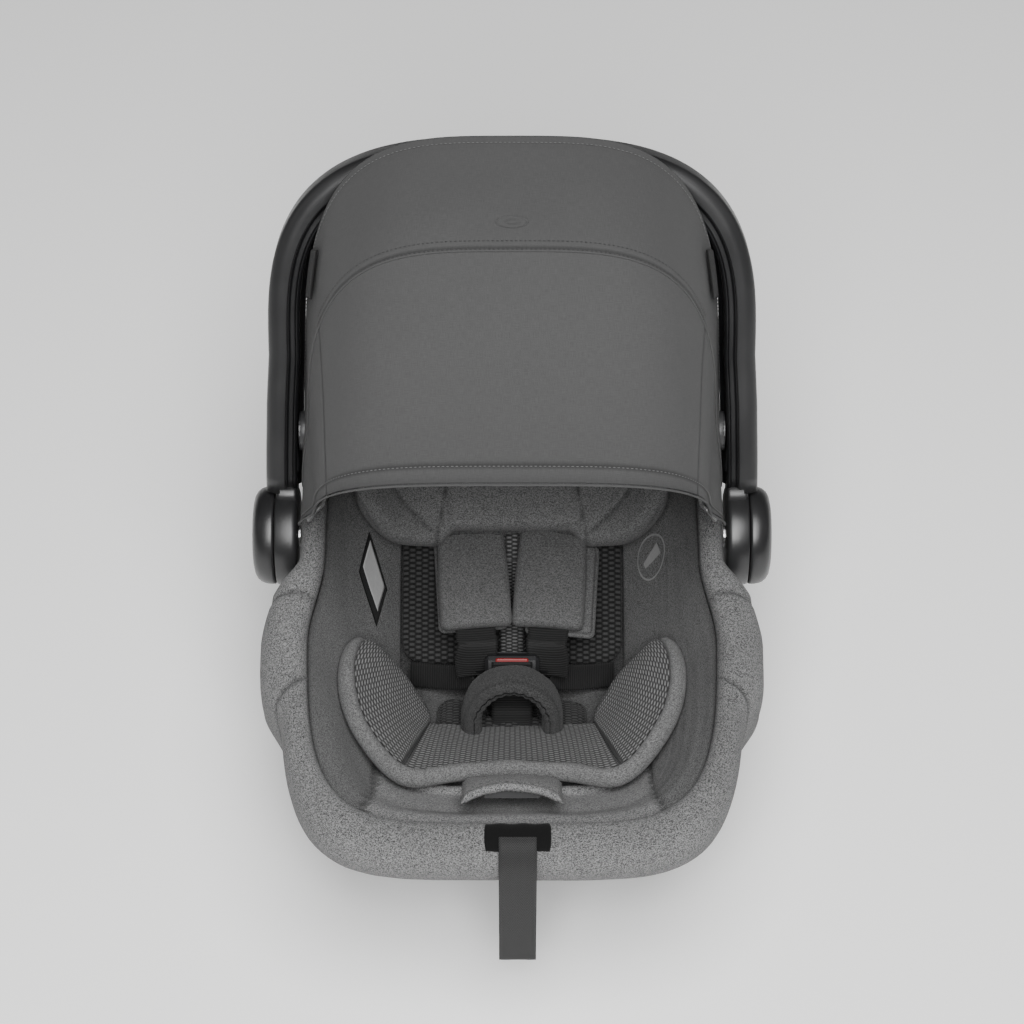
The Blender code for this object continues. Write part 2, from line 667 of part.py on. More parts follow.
def make_buckle():
    """Crotch strap, buckle, tongues and pad. The tilted frame's z runs up the crotch strap."""
    lean = make_empty("buckle_plane", (0, -0.1120, -0.1060), FRAME, math.radians(-35.6))
    add_box("crotch_strap", (0.034, 0.0014, 0.0132), (0, 0, 0.0068), WEBBING, lean)
    body = add_part("buckle_body", box_mesh((0.046, 0.020, 0.040), (0, 0, 0.0340)), TRIM_PLASTIC, lean,
                    smooth=False)
    add_bevel(body, 0.003)
    well = add_cutter("buckle_button_well", box_mesh((0.030, 0.0120, 0.0190), (0, -0.0085, 0.0405)), lean)
    mouth = add_cutter("buckle_mouth", box_mesh((0.040, 0.0036, 0.020), (0, 0.0045, 0.0510)), lean)
    for cutter in (well, mouth):
        boolean(body, cutter, "DIFFERENCE")
    add_box("buckle_button", (0.0288, 0.0060, 0.0178), (0, -0.0080, 0.0405), RED_PLASTIC, lean, 0.001)
    add_part("buckle_spring", rod_mesh(0.0040, (0, -0.0046, 0.0405), (0, -0.0028, 0.0405), 12), STEEL, lean)
    for side, sign in (("left", -1), ("right", 1)):
        add_box(f"tongue_{side}", (0.0165, 0.0024, 0.0150), (sign * 0.0095, 0.0045, 0.0535), STEEL, lean)
    arch = []
    for radius in (0.0420, 0.0285):
        half = [(radius * math.cos(a), radius * math.sin(a) + 0.008)
                for a in (math.pi * i / 12 for i in range(13))]
        half = [(radius * 1.04, 0.0)] + half + [(-radius * 1.04, 0.0)]
        arch += half if radius > 0.03 else list(reversed(half))
    extruded("crotch_pad", arch, 0.024, INNER_FABRIC, FRAME, location=(0, -0.1300, -0.0850),
             turn=(math.radians(72), 0, 0))


def make_insert():
    """A base cushion on the seat and a U-shaped bolster round its front and sides."""
    base = make_empty("seat_plane", BIGHT, FRAME, -SEAT_ANGLE)
    cushion = add_part("insert_base", box_mesh((0.118, 0.078, 0.012), (0, -0.067, 0.0102)), KNIT, base,
                       smooth=False)
    add_bevel(cushion, 0.003)
    slot = add_cutter("insert_base_slot", box_mesh((0.054, 0.034, 0.060), (0, -0.052, 0.0095)), base)
    boolean(cushion, slot, "DIFFERENCE")
    rings = []
    count = 26
    for i in range(count + 1):
        angle = math.radians(mix(196, 344, i / count))
        end = min(i, count - i) / 3.0
        swell = math.sqrt(1 - (1 - min(end, 1.0)) ** 2) * 0.96 + 0.04
        x, y = outline(angle, 0.086, 0.137)
        side = smooth_step(abs(x), 0.040, 0.096)
        centre = Vector((x, y, mix(seat_level(y) + 0.024, mix(-0.0785, -0.064, -y / 0.16), side)))
        outward = Vector((math.cos(angle) * side / 0.1, math.sin(angle) / 0.2, 0)).normalized()
        along = (outward + Vector((0, 0, mix(0.10, 1.02, side)))).normalized()
        across = Vector((0, 0, 1)) - along * along.z
        across = across.normalized() * mix(0.0110, 0.0090, side) * swell
        along = along * mix(0.0270, 0.0375, side) * swell
        rings.append([centre + along * math.cos(a) + across * math.sin(a)
                      for a in (2 * math.pi * k / 12 for k in range(12))])
    add_part("insert_bolster", loft_mesh(rings), RIM_FABRIC, FRAME)


def make_lap_straps():
    for side, sign in (("left", -1), ("right", 1)):
        path = [(sign * 0.080, -0.055, -0.103), (sign * 0.060, -0.064, -0.095),
                (sign * 0.044, -0.074, -0.083), (sign * 0.0310, -0.083, -0.0725)]
        add_part(f"lap_strap_{side}", ribbon_mesh(path, 0.022, 0.0014, (0, 0.62, 0.78)), WEBBING, FRAME)


# ---- foot end: adjuster, flap, tag and tail strap ----
def make_adjuster():
    slope = math.atan2(rim_height(-0.290) - seat_level(-0.215), 0.290 - 0.215)
    panel = make_empty("foot_panel_plane", (0, -0.2300, seat_level(-0.212) + 0.0205), FRAME, -slope)
    housing = add_part("adjuster_housing", box_mesh((0.044, 0.034, 0.0060), (0, -0.018, 0.0040)),
                       TRIM_PLASTIC, panel, smooth=False)
    window = add_cutter("adjuster_window", box_mesh((0.031, 0.023, 0.020), (0, -0.018, 0.0090)), panel)
    boolean(housing, window, "DIFFERENCE")
    add_box("adjuster_button", (0.0300, 0.0220, 0.0050), (0, -0.018, 0.0045), STEEL, panel)
    flap_axis = make_empty("flap_axis", (0, 0.0040, 0.0100), panel)
    add_box("adjuster_flap", (0.074, 0.046, 0.0050), (0, -0.0240, 0.0), RIM_FABRIC, flap_axis, 0.002)
    crest = rim_height(-0.308) + 0.0105
    tail = [(0, -0.3060, crest + 0.0022), (0, -0.3170, crest + 0.0010), (0, -0.3262, crest - 0.0060),
            (0, -0.3305, crest - 0.0180), (0, -0.3318, crest - 0.0400), (0, -0.3322, crest - 0.0700),
            (0, -0.3320, crest - 0.1050), (0, -0.3316, crest - 0.1400)]
    add_part("adjuster_strap", ribbon_mesh(tail, 0.030, 0.0015), WEBBING, FRAME)
    add_box("rim_tag", (0.052, 0.0100, 0.0012), (0, -0.2985, crest + 0.0007), WEBBING, FRAME)


def make_belt_guides():
    for side, sign in (("left", -1), ("right", 1)):
        guide = box_mesh((0.0047, 0.054, 0.058), (sign * 0.1892, -0.1225, rim_height(-0.1225) - 0.050))
        obj = add_part(f"belt_guide_{side}", guide, TRIM_PLASTIC, FRAME, smooth=False)
        add_bevel(obj, 0.002)


clear_scene()
PARTS = new_collection("infant_car_seat")
CUTTERS = new_collection("cutters")
SHELL_PLASTIC = make_material("shell_plastic", (0.030, 0.030, 0.032), 0.55)
BASE_PLASTIC = make_material("base_plastic", (0.022, 0.022, 0.024), 0.6)
HANDLE_PLASTIC = make_material("handle_plastic", (0.030, 0.030, 0.031), 0.42)
COVER_PLASTIC = make_material("handle_cover_plastic", (0.045, 0.045, 0.046), 0.48)
TRIM_PLASTIC = make_material("trim_plastic", (0.016, 0.016, 0.017), 0.4)
RED_PLASTIC = make_material("red_plastic", (0.55, 0.02, 0.02), 0.35)
BRASS_YELLOW = make_material("gear_nylon", (0.60, 0.60, 0.56), 0.5)
STEEL = make_material("steel", (0.55, 0.55, 0.56), 0.3, 1.0)
FOAM = make_material("liner_foam", (0.05, 0.05, 0.052), 0.95)
RIM_FABRIC = make_material("rim_fabric", (0.19, 0.19, 0.19), 0.95)
INNER_FABRIC = make_material("inner_fabric", (0.09, 0.09, 0.09), 0.95)
CANOPY_FABRIC = make_material("canopy_fabric", (0.115, 0.115, 0.115), 0.95)
KNIT = make_material("knit_fabric", (0.075, 0.075, 0.075), 0.95)
WEBBING = make_material("webbing", (0.02, 0.02, 0.02), 0.8)
FRAME = make_empty("seat_frame", (0, HUB_BACK, HUB_HEIGHT))

make_bucket()
make_base()
make_handle()
make_canopy()
make_back()
make_buckle()
make_insert()
make_lap_straps()
make_adjuster()
make_belt_guides()
bpy.context.view_layer.update()
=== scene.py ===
"""Looks of an infant car seat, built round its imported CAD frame.

Metres, +Z up, the foot end towards -Y. Shapes are written in the hub frame, whose origin is in
the middle of the handle's axis. add_mesh() moves them to the row frame.
"""

import json
import math

import bpy
import numpy as np
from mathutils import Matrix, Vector, noise
from mathutils.bvhtree import BVHTree


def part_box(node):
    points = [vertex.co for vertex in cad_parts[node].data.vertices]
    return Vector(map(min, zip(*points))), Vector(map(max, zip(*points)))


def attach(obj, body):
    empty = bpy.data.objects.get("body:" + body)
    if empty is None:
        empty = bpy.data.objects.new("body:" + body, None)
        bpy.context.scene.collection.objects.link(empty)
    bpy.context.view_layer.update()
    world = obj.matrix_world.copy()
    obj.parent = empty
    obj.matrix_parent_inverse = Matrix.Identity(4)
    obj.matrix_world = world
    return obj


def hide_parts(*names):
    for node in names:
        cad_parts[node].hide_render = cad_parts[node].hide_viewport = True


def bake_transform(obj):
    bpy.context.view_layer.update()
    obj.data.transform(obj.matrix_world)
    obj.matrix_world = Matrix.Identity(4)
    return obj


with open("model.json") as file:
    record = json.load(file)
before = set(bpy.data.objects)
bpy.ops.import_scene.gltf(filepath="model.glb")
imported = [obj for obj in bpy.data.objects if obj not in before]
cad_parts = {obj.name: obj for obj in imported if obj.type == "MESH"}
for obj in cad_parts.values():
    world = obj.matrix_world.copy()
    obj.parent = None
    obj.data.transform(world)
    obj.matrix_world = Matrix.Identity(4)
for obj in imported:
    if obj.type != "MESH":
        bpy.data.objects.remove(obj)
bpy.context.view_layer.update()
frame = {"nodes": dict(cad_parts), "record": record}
CAP_LOW, CAP_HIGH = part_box("hub_cap_left")
HUB = np.array([0.0, (CAP_LOW.y + CAP_HIGH.y) / 2, (CAP_LOW.z + CAP_HIGH.z) / 2])

# ---- shape of the seat, in the hub frame ----
FOOT_REACH, HEAD_REACH = 0.328, 0.298
REAR_HALF_WIDTH, FRONT_HALF_WIDTH = 0.178, 0.19
FOOT_POWER, HEAD_POWER = 5.0, 3.4
BACK_ANGLE, SEAT_ANGLE = math.radians(34), math.radians(20)
BIGHT = np.array([0.0, -0.06, -0.13])
FLARE = 0.0175
PIVOT = (0.04, 0.086)
HANDLE_LEAN = math.radians(25)
SIDES = (("left", -1), ("right", 1))


def mix(a, b, share):
    return a + (b - a) * share


def smooth_step(value, low, high):
    share = min(max((value - low) / (high - low), 0.0), 1.0)
    return share * share * (3 - 2 * share)


def ridge(value, middle, width):
    """1 at the middle, falling to nothing over about the width."""
    return math.exp(-((value - middle) / width) ** 2)


def round_max(a, b, softness):
    return (a + b) / 2 + math.sqrt(((a - b) / 2) ** 2 + softness ** 2)


def rim_height(y):
    return 0.03 + 0.158 * y + 0.023 * (max(y, 0.0) / HEAD_REACH) ** 2


def rim_half_width(y):
    if y < 0:
        return mix(REAR_HALF_WIDTH, FRONT_HALF_WIDTH, smooth_step(-y, 0.045, 0.125))
    return REAR_HALF_WIDTH - 0.016 * (y / HEAD_REACH) ** 2


def seat_level(y):
    seat = BIGHT[2] - (y - BIGHT[1]) * math.tan(SEAT_ANGLE)
    back = BIGHT[2] + (y - BIGHT[1]) * math.tan(BACK_ANGLE)
    return round_max(seat, back, 0.006)


def belt_flare(y):
    return smooth_step(-y, 0.044, 0.078) * (1 - smooth_step(-y, 0.158, 0.205))


def outline(t, side_inset, foot_inset, head_inset, bulge=0.0):
    """Plan position at angle t of a rounded rectangle set in from the rim's outermost line."""
    cosine, sine = math.cos(t), math.sin(t)
    power = FOOT_POWER if sine < 0 else HEAD_POWER
    stretch = (abs(cosine) ** power + abs(sine) ** power) ** (-1 / power)
    y = (FOOT_REACH - foot_inset if sine < 0 else HEAD_REACH - head_inset) * sine * stretch
    return (rim_half_width(y) - side_inset + bulge * belt_flare(y)) * cosine * stretch, y


def spline(points, count, closed=False):
    """A smooth curve through rows of numbers, as count rows."""
    p = np.array(points, float)
    n = len(p)
    rows = []
    for s in np.linspace(0, n if closed else n - 1, count, endpoint=not closed):
        i = int(min(s, n - 1 if closed else n - 2))
        f = s - i
        if closed:
            a, b, c, d = (p[(i + k) % n] for k in (-1, 0, 1, 2))
        else:
            b, c = p[i], p[i + 1]
            a = p[i - 1] if i > 0 else 2 * b - c
            d = p[i + 2] if i + 2 < n else 2 * c - b
        rows.append(0.5 * (2 * b + (c - a) * f + (2 * a - 5 * b + 4 * c - d) * f ** 2
                           + (3 * b - a - 3 * c + d) * f ** 3))
    return np.array(rows)


def tilted(origin, angle):
    """A frame at a hub-frame point, turned about X. Returns a function of local x, y, z."""
    cosine, sine = math.cos(angle), math.sin(angle)

    def at(x, y, z):
        return np.array([origin[0] + x, origin[1] + y * cosine - z * sine,
                         origin[2] + y * sine + z * cosine])
    return at


BACK = tilted(BIGHT, BACK_ANGLE)
SEAT = tilted(BIGHT, -SEAT_ANGLE)


# ---- materials ----
class Look:
    """A procedural material, built node by node."""

    def __init__(self, name, roughness, sheen=0.0, metallic=0.0, gloss=0.5):
        self.material = bpy.data.materials.new(name)
        self.material.use_nodes = True
        self.tree = self.material.node_tree
        self.shader = self.tree.nodes["Principled BSDF"]
        for socket, value in (("Roughness", roughness), ("Metallic", metallic),
                              ("Specular IOR Level", gloss), ("Sheen Weight", sheen),
                              ("Sheen Roughness", 0.5)):
            self.shader.inputs[socket].default_value = value
        self.normal = None
        coordinates = self.tree.nodes.new("ShaderNodeTexCoord")
        self.place, self.cloth = coordinates.outputs["Object"], coordinates.outputs["UV"]

    def set(self, socket, value):
        if isinstance(value, bpy.types.NodeSocket):
            self.tree.links.new(value, socket)
        elif isinstance(value, tuple) and len(value) == 3 and socket.type == "RGBA":
            socket.default_value = (*value, 1.0)
        else:
            socket.default_value = value

    def math(self, operation, a, b=0.0, c=0.0):
        node = self.tree.nodes.new("ShaderNodeMath")
        node.operation = operation
        for socket, value in zip(node.inputs, (a, b, c)):
            self.set(socket, value)
        return node.outputs[0]

    def noise(self, scale, detail=2.0, stretch=None, source=None):
        vector = self.place if source is None else source
        if stretch:
            mapping = self.tree.nodes.new("ShaderNodeMapping")
            self.set(mapping.inputs["Vector"], vector)
            mapping.inputs["Scale"].default_value = stretch
            vector = mapping.outputs[0]
        node = self.tree.nodes.new("ShaderNodeTexNoise")
        self.set(node.inputs["Vector"], vector)
        node.inputs["Scale"].default_value = scale
        node.inputs["Detail"].default_value = detail
        return node.outputs["Fac"]

    def between(self, value, low, high, to_low=0.0, to_high=1.0):
        node = self.tree.nodes.new("ShaderNodeMapRange")
        node.interpolation_type = "SMOOTHSTEP"
        for socket, number in zip(node.inputs, (value, low, high, to_low, to_high)):
            self.set(socket, number)
        return node.outputs[0]

    def blend(self, share, a, b):
        node = self.tree.nodes.new("ShaderNodeMix")
        node.data_type = "RGBA"
        self.set(node.inputs[0], share)
        self.set(node.inputs[6], a)
        self.set(node.inputs[7], b)
        return node.outputs[2]

    def axes(self):
        node = self.tree.nodes.new("ShaderNodeSeparateXYZ")
        self.set(node.inputs[0], self.cloth)
        return node.outputs[0], node.outputs[1]

    def wave(self, value, pitch, shift=0.0):
        """A cosine of the given pitch along a coordinate."""
        return self.math("COSINE", self.math("MULTIPLY_ADD", value, 2 * math.pi / pitch, shift))

    def bump(self, height, distance):
        node = self.tree.nodes.new("ShaderNodeBump")
        node.inputs["Strength"].default_value = 1.0
        node.inputs["Distance"].default_value = distance
        self.set(node.inputs["Height"], height)
        if self.normal:
            self.set(node.inputs["Normal"], self.normal)
        self.normal = node.outputs[0]

    def crease_shade(self, colour, strength=0.55):
        """Paints shade into the colour along sewn grooves and in folds, gaps and recesses, from the
        mesh attribute of that name.
        """
        node = self.tree.nodes.new("ShaderNodeAttribute")
        node.attribute_name = "crease_shade"
        return self.blend(self.math("MULTIPLY", node.outputs["Fac"], strength), colour, (0.0, 0.0, 0.0))

    def done(self, colour, roughness=None):
        self.set(self.shader.inputs["Base Color"], colour)
        if roughness is not None:
            self.set(self.shader.inputs["Roughness"], roughness)
        if self.normal:
            self.set(self.shader.inputs["Normal"], self.normal)
        return self.material


def grey(value):
    return (value, value, value)


def heather(name, level, contrast):
    """Melange weave: pale and dark flecks about a grey, with faint broad clouds."""
    look = Look(name, 0.92, sheen=0.06, gloss=0.15)
    fleck = look.between(look.noise(1150, 1.0), 0.38, 0.62)
    slub = look.between(look.noise(1.0, 2.0, stretch=(520, 520, 1300)), 0.36, 0.64)
    cloud = look.noise(28, 2.0)
    share = look.math("MULTIPLY_ADD", slub, 0.35, look.math("MULTIPLY", fleck, 0.65))
    colour = look.blend(share, grey(level * (1 - contrast)), grey(level * (1 + contrast)))
    colour = look.blend(look.between(cloud, 0.3, 0.7, 0.0, 0.12), colour, grey(level * 0.6))
    u, v = look.axes()
    look.bump(look.math("MULTIPLY", look.wave(u, 0.0013), look.wave(v, 0.0013)), 0.0001)
    look.bump(look.noise(1400, 2.0), 0.00025)
    return look.done(look.crease_shade(colour))


def plain_weave(name, level):
    """Fine plain weave with faint uneven threads."""
    look = Look(name, 0.9, sheen=0.05, gloss=0.15)
    u, v = look.axes()
    threads = look.math("MULTIPLY", look.wave(u, 0.0011), look.wave(v, 0.0011))
    along = look.noise(1.0, 2.0, stretch=(140, 2600, 1), source=look.cloth)
    across = look.noise(1.0, 2.0, stretch=(2600, 140, 1), source=look.cloth)
    uneven = look.math("ADD", along, across)
    colour = look.blend(look.between(uneven, 0.7, 1.3), grey(level * 0.9), grey(level * 1.1))
    cloud = look.between(look.noise(14, 2.0), 0.3, 0.7, 0.0, 0.1)
    colour = look.blend(cloud, colour, grey(level * 0.8))
    look.bump(threads, 0.00009)
    look.bump(look.noise(1500, 1.0), 0.0001)
    return look.done(look.crease_shade(colour))


def knit(name, level, pitch):
    """Open 3-D knit: rows of small raised cells staggered about dark holes."""
    look = Look(name, 0.88, sheen=0.06, gloss=0.15)
    u, v = look.axes()
    column = look.math("FLOOR", look.math("MULTIPLY", u, 1 / pitch[0]))
    place = look.math("MULTIPLY_ADD", v, 2 * math.pi / pitch[1], look.math("MULTIPLY", column, math.pi))
    rib = look.between(look.wave(u, pitch[0], math.pi), -1.0, -0.2, 0.35, 1.0)
    height = look.math("MULTIPLY", look.between(look.math("COSINE", place), -0.75, 0.55), rib)
    fibre = look.noise(1500, 2.0)
    colour = look.blend(height, grey(level * 0.12), grey(level))
    colour = look.blend(look.between(fibre, 0.35, 0.65, 0.0, 0.35), colour, grey(level * 0.55))
    look.bump(height, 0.0011)
    look.bump(fibre, 0.0002)
    return look.done(look.crease_shade(colour, 0.75))


def webbing(name, level, herringbone=False):
    """Woven strap: ribs across it, or a herringbone of slanting threads."""
    look = Look(name, 0.66, sheen=0.04, gloss=0.25)
    u, v = look.axes()
    if herringbone:
        zigzag = look.math("PINGPONG", u, 0.0038)
        threads = look.wave(look.math("MULTIPLY_ADD", zigzag, 1.35, v), 0.0021)
    else:
        threads = look.wave(v, 0.0023)
    height = look.between(threads, -0.6, 0.7)
    fibre = look.noise(1.0, 2.0, stretch=(2500, 500, 1), source=look.cloth)
    colour = look.blend(height, grey(level * 0.35), grey(level * 1.25))
    colour = look.blend(look.between(fibre, 0.4, 0.65, 0.0, 0.4), colour, grey(level * 0.6))
    look.bump(height, 0.0004)
    return look.done(look.crease_shade(colour))


def moulded(name, colour, roughness, grain=0.00006):
    """Moulded plastic with a fine spark texture and slightly uneven gloss."""
    look = Look(name, roughness)
    look.bump(look.noise(2100, 2.0), grain)
    patchy = look.between(look.noise(18, 3.0), 0.3, 0.7, roughness - 0.05, roughness + 0.06)
    shade = look.blend(look.between(look.noise(60, 3.0), 0.3, 0.7, 0.0, 0.18), colour,
                       tuple(c * 0.75 for c in colour))
    return look.done(shade, patchy)


def metal(name, level, roughness):
    """Plated steel with fine drawn lines."""
    look = Look(name, roughness, metallic=1.0)
    lines = look.noise(1.0, 2.0, stretch=(90, 2400, 2400))
    look.bump(lines, 0.00003)
    return look.done(grey(level), look.between(lines, 0.3, 0.7, roughness - 0.08, roughness + 0.12))


def foam(name, level):
    """Moulded foam of fine beads."""
    look = Look(name, 0.98)
    cells = look.noise(700, 1.0)
    look.bump(cells, 0.0004)
    return look.done(look.blend(cells, grey(level * 0.6), grey(level * 1.4)))


RIM_CLOTH = heather("rim_heather", 0.14, 0.75)
# A darker copy of the rim heather for the inner walls: painted shade. The foot panel keeps the lit
# level.
SHADED_INNER_CLOTH = heather("inner_heather_shaded", 0.088, 0.6)
HEAD_CLOTH = heather("headrest_heather", 0.115, 0.55)
PAD_CLOTH = heather("pad_heather", 0.08, 0.5)
PAD_DARK_CLOTH = heather("crotch_pad_heather", 0.034, 0.5)
FOOT_CLOTH = heather("foot_panel_heather", 0.15, 0.7)
BINDING_CLOTH = heather("binding_heather", 0.105, 0.5)
CANOPY_CLOTH = plain_weave("canopy_weave", 0.056)
KNIT_CLOTH = knit("insert_knit", 0.155, (0.0044, 0.003))
BACK_KNIT = knit("back_knit", 0.04, (0.0056, 0.0046))
STRIP_KNIT = knit("centre_strip_knit", 0.145, (0.005, 0.003))
# A darker copy of the headrest heather for its outer wings and back: painted shade.
HEAD_SHADED_SIDE_CLOTH = heather("headrest_side_heather_shaded", 0.104, 0.55)
STRAP = webbing("harness_webbing", 0.007)
TAIL_STRAP = webbing("tail_webbing", 0.026, herringbone=True)
BLACK_LABEL = plain_weave("black_label", 0.0035)
PALE_LABEL = plain_weave("pale_label", 0.32)
PALE_PRINT = plain_weave("pale_print", 0.2)
# A darker copy of the handle plastic for the frame moulding: painted shade in the handle's groove.
SHADED_GROOVE_PLASTIC = moulded("handle_groove_plastic_shaded", (0.0045, 0.0045, 0.005), 0.4)
MOUNT_PLASTIC = moulded("canopy_mount_plastic", (0.03, 0.03, 0.031), 0.46)
HANDLE_PLASTIC = moulded("handle_plastic", (0.014, 0.014, 0.0145), 0.36)
COVER_PLASTIC = moulded("handle_cover_plastic", (0.0165, 0.0165, 0.017), 0.38)
TRIM_PLASTIC = moulded("trim_plastic", (0.014, 0.014, 0.015), 0.38)
SHELL_PLASTIC = moulded("shell_plastic", (0.02, 0.02, 0.022), 0.55, grain=0.00012)
BASE_PLASTIC = moulded("base_plastic", (0.016, 0.016, 0.018), 0.6, grain=0.00015)
RED_PLASTIC = moulded("red_plastic", (0.17, 0.0025, 0.003), 0.45)
GEAR_PLASTIC = moulded("gear_nylon", (0.6, 0.6, 0.56), 0.5)
STEEL = metal("steel", 0.56, 0.3)
LINER_FOAM = foam("liner_foam", 0.04)
THREAD = plain_weave("sewing_thread", 0.13)
DARK_THREAD = plain_weave("dark_thread", 0.04)
SLOTS = {"shell_plastic": SHELL_PLASTIC, "base_plastic": BASE_PLASTIC, "handle_plastic": HANDLE_PLASTIC,
         "handle_cover_plastic": COVER_PLASTIC, "trim_plastic": TRIM_PLASTIC,
         "red_plastic": RED_PLASTIC, "gear_nylon": GEAR_PLASTIC, "steel": STEEL,
         "liner_foam": LINER_FOAM, "rim_fabric": RIM_CLOTH, "inner_fabric": SHADED_INNER_CLOTH,
         "canopy_fabric": CANOPY_CLOTH, "knit_fabric": BACK_KNIT, "webbing": STRAP}


# ---- mesh helpers ----
def add_mesh(name, points, faces, uvs, material, body, slot, replaced=(), creases=None):
    """A smooth piece in the row frame. uvs holds one pair for each corner of each face."""
    mesh = bpy.data.meshes.new(name)
    mesh.from_pydata((np.asarray(points) + HUB).tolist(), [], faces)
    layer = mesh.uv_layers.new(name="cloth")
    layer.data.foreach_set("uv", np.asarray(uvs, np.float32).reshape(-1))
    if creases is not None:
        attribute = mesh.attributes.new("crease_shade", "FLOAT", "POINT")
        attribute.data.foreach_set("value", np.asarray(creases, np.float32).reshape(-1))
    mesh.shade_smooth()
    obj = bpy.data.objects.new(name, mesh)
    bpy.context.scene.collection.objects.link(obj)
    for choice in material if isinstance(material, (list, tuple)) else [material]:
        mesh.materials.append(choice)
    if body:
        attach(obj, body)
    if replaced:
        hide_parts(*replaced)
    return obj


def grid_faces(rows, columns, closed_rows=False, closed_columns=False):
    faces = []
    for j in range(rows if closed_rows else rows - 1):
        for i in range(columns if closed_columns else columns - 1):
            k, m = (j + 1) % rows, (i + 1) % columns
            faces.append((j * columns + i, j * columns + m, k * columns + m, k * columns + i))
    return faces


def lengths(points, axis=0):
    """The distance travelled from the first point along one axis of an array of points."""
    steps = np.cumsum(np.linalg.norm(np.diff(points, axis=axis), axis=-1), axis)
    return np.concatenate([np.zeros_like(steps.take([0], axis)), steps], axis)


def surface(name, grid, material, body, slot, replaced=(), closed_rows=False, closed_columns=False,
            caps=False, creases=None, pick=None, centre=False, flat=None):
    """A grid of points as a piece. Its UVs are distances along the cloth, in metres.

    pick gives a face's material index from its row and column. caps closes the first and last row,
    and flat gives every point its own pair of UVs."""
    grid = np.asarray(grid, float)
    rows, columns = grid.shape[:2]
    u = lengths(np.concatenate([grid, grid[:, :1]], 1), 1)
    v = lengths(np.concatenate([grid, grid[:1]], 0), 0)
    if centre:
        u = u - u[:, columns // 2][:, None]
    faces = grid_faces(rows, columns, closed_rows, closed_columns)
    across = columns if closed_columns else columns - 1
    grid_count = len(faces)
    uvs = []
    for n in range(grid_count):
        j, i = n // across, n % across
        k, m = (j + 1) % rows, (i + 1) % columns
        if flat is None:
            uvs += [(u[j, i], v[j, i]), (u[j, i + 1], v[j, m]),
                    (u[k, i + 1], v[j + 1, m]), (u[k, i], v[j + 1, i])]
        else:
            uvs += [flat[j][i], flat[j][m], flat[k][m], flat[k][i]]
    points = grid.reshape(-1, 3)
    if caps:
        first, last = range(columns), range((rows - 1) * columns, rows * columns)
        for ring in (tuple(first)[::-1], tuple(last)):
            faces.append(ring)
            uvs += [tuple(points[i][:2]) for i in ring]
    obj = add_mesh(name, points, faces, uvs, material, body, slot, replaced, creases)
    if pick:
        for n in range(grid_count):
            obj.data.polygons[n].material_index = pick(n // across, n % across)
    return obj


def thicken(obj, thickness, offset=-1.0):
    """Gives a sheet its thickness, inward unless offset says otherwise."""
    modifier = obj.modifiers.new("thickness", "SOLIDIFY")
    modifier.thickness = thickness
    modifier.offset = offset
    return obj


def closed(name, grid, material, body, slot, replaced=(), **options):
    """A tube of points with both its ends capped."""
    return surface(name, grid, material, body, slot, replaced, closed_columns=True, caps=True,
                   **options)


def marked(rows, columns, at):
    """Points and crease marks of a grid, where at(row, column) gives one of each."""
    cells = [[at(row, column) for column in columns] for row in rows]
    return [[point for point, _ in row] for row in cells], [[mark for _, mark in row] for row in cells]


def turns(count):
    """Evenly spaced angles round a circle."""
    return [2 * math.pi * k / count for k in range(count)]


def crumple(point, size, amount, seed=0.0):
    """A soft random shift along one direction."""
    return amount * noise.noise(Vector(point) / size + Vector((seed, seed * 2.3, 7.1)))


# ---- rim and inner walls ----
REAR_SEAM, FRONT_SEAM = -0.09, -0.163
RIM_WIDTH, RIM_LEVELS, HIDDEN_LEVEL = 0.021, 56, 50


def rim_profile():
    """Side inset, foot inset, head inset, height above the rim line and share of the flare."""
    knots = ((0.0212, 0.034, 0.034, -0.005, 0.0), (0.0196, 0.0322, 0.0322, 0.0035, 0.0),
             (0.0155, 0.0262, 0.0262, 0.0088, 0.0), (0.0105, 0.018, 0.018, 0.0106, 0.15),
             (0.0055, 0.0095, 0.0095, 0.0084, 0.4), (0.0018, 0.0035, 0.0035, 0.002, 0.7),
             (0.0, 0.0, 0.0, -0.009, 0.95), (-0.0004, 0.0008, 0.0, -0.02, 1.0),
             (0.0, 0.006, 0.0004, -0.033, 1.0), (0.0008, 0.015, 0.0008, -0.045, 1.0),
             (0.0012, 0.0232, 0.0012, -0.0545, 1.0), (0.003, 0.0256, 0.003, -0.0548, 1.0),
             (0.0034, 0.016, 0.0034, -0.04, 1.0), (0.0036, 0.004, 0.0036, -0.018, 0.9),
             (0.009, 0.011, 0.011, -0.006, 0.5), (0.0165, 0.027, 0.027, -0.0058, 0.1))
    return spline(knots, RIM_LEVELS, closed=True)


def rim_angles():
    """Angles round the rim, closer together where seams cross it."""
    angles = list(np.linspace(0, 2 * math.pi, 300, endpoint=False))
    for low, high, count in ((REAR_SEAM - 0.006, REAR_SEAM + 0.006, 14), (-0.204, -0.155, 34)):
        for y in np.linspace(low, high, count):
            sine = -min(abs(y) / FOOT_REACH, 1.0)
            for _ in range(12):
                t = math.asin(max(sine, -1.0))
                sine *= y / outline(t, 0, 0, 0)[1]
            t = math.asin(max(sine, -1.0))
            angles += [t % (2 * math.pi), (math.pi - t) % (2 * math.pi)]
    return sorted(set(round(a, 6) for a in angles))


def rim_point(t, row):
    side, foot, head, height, share = row
    x, y = outline(t, side, foot, head, FLARE * share)
    return x, y, rim_height(y) + height


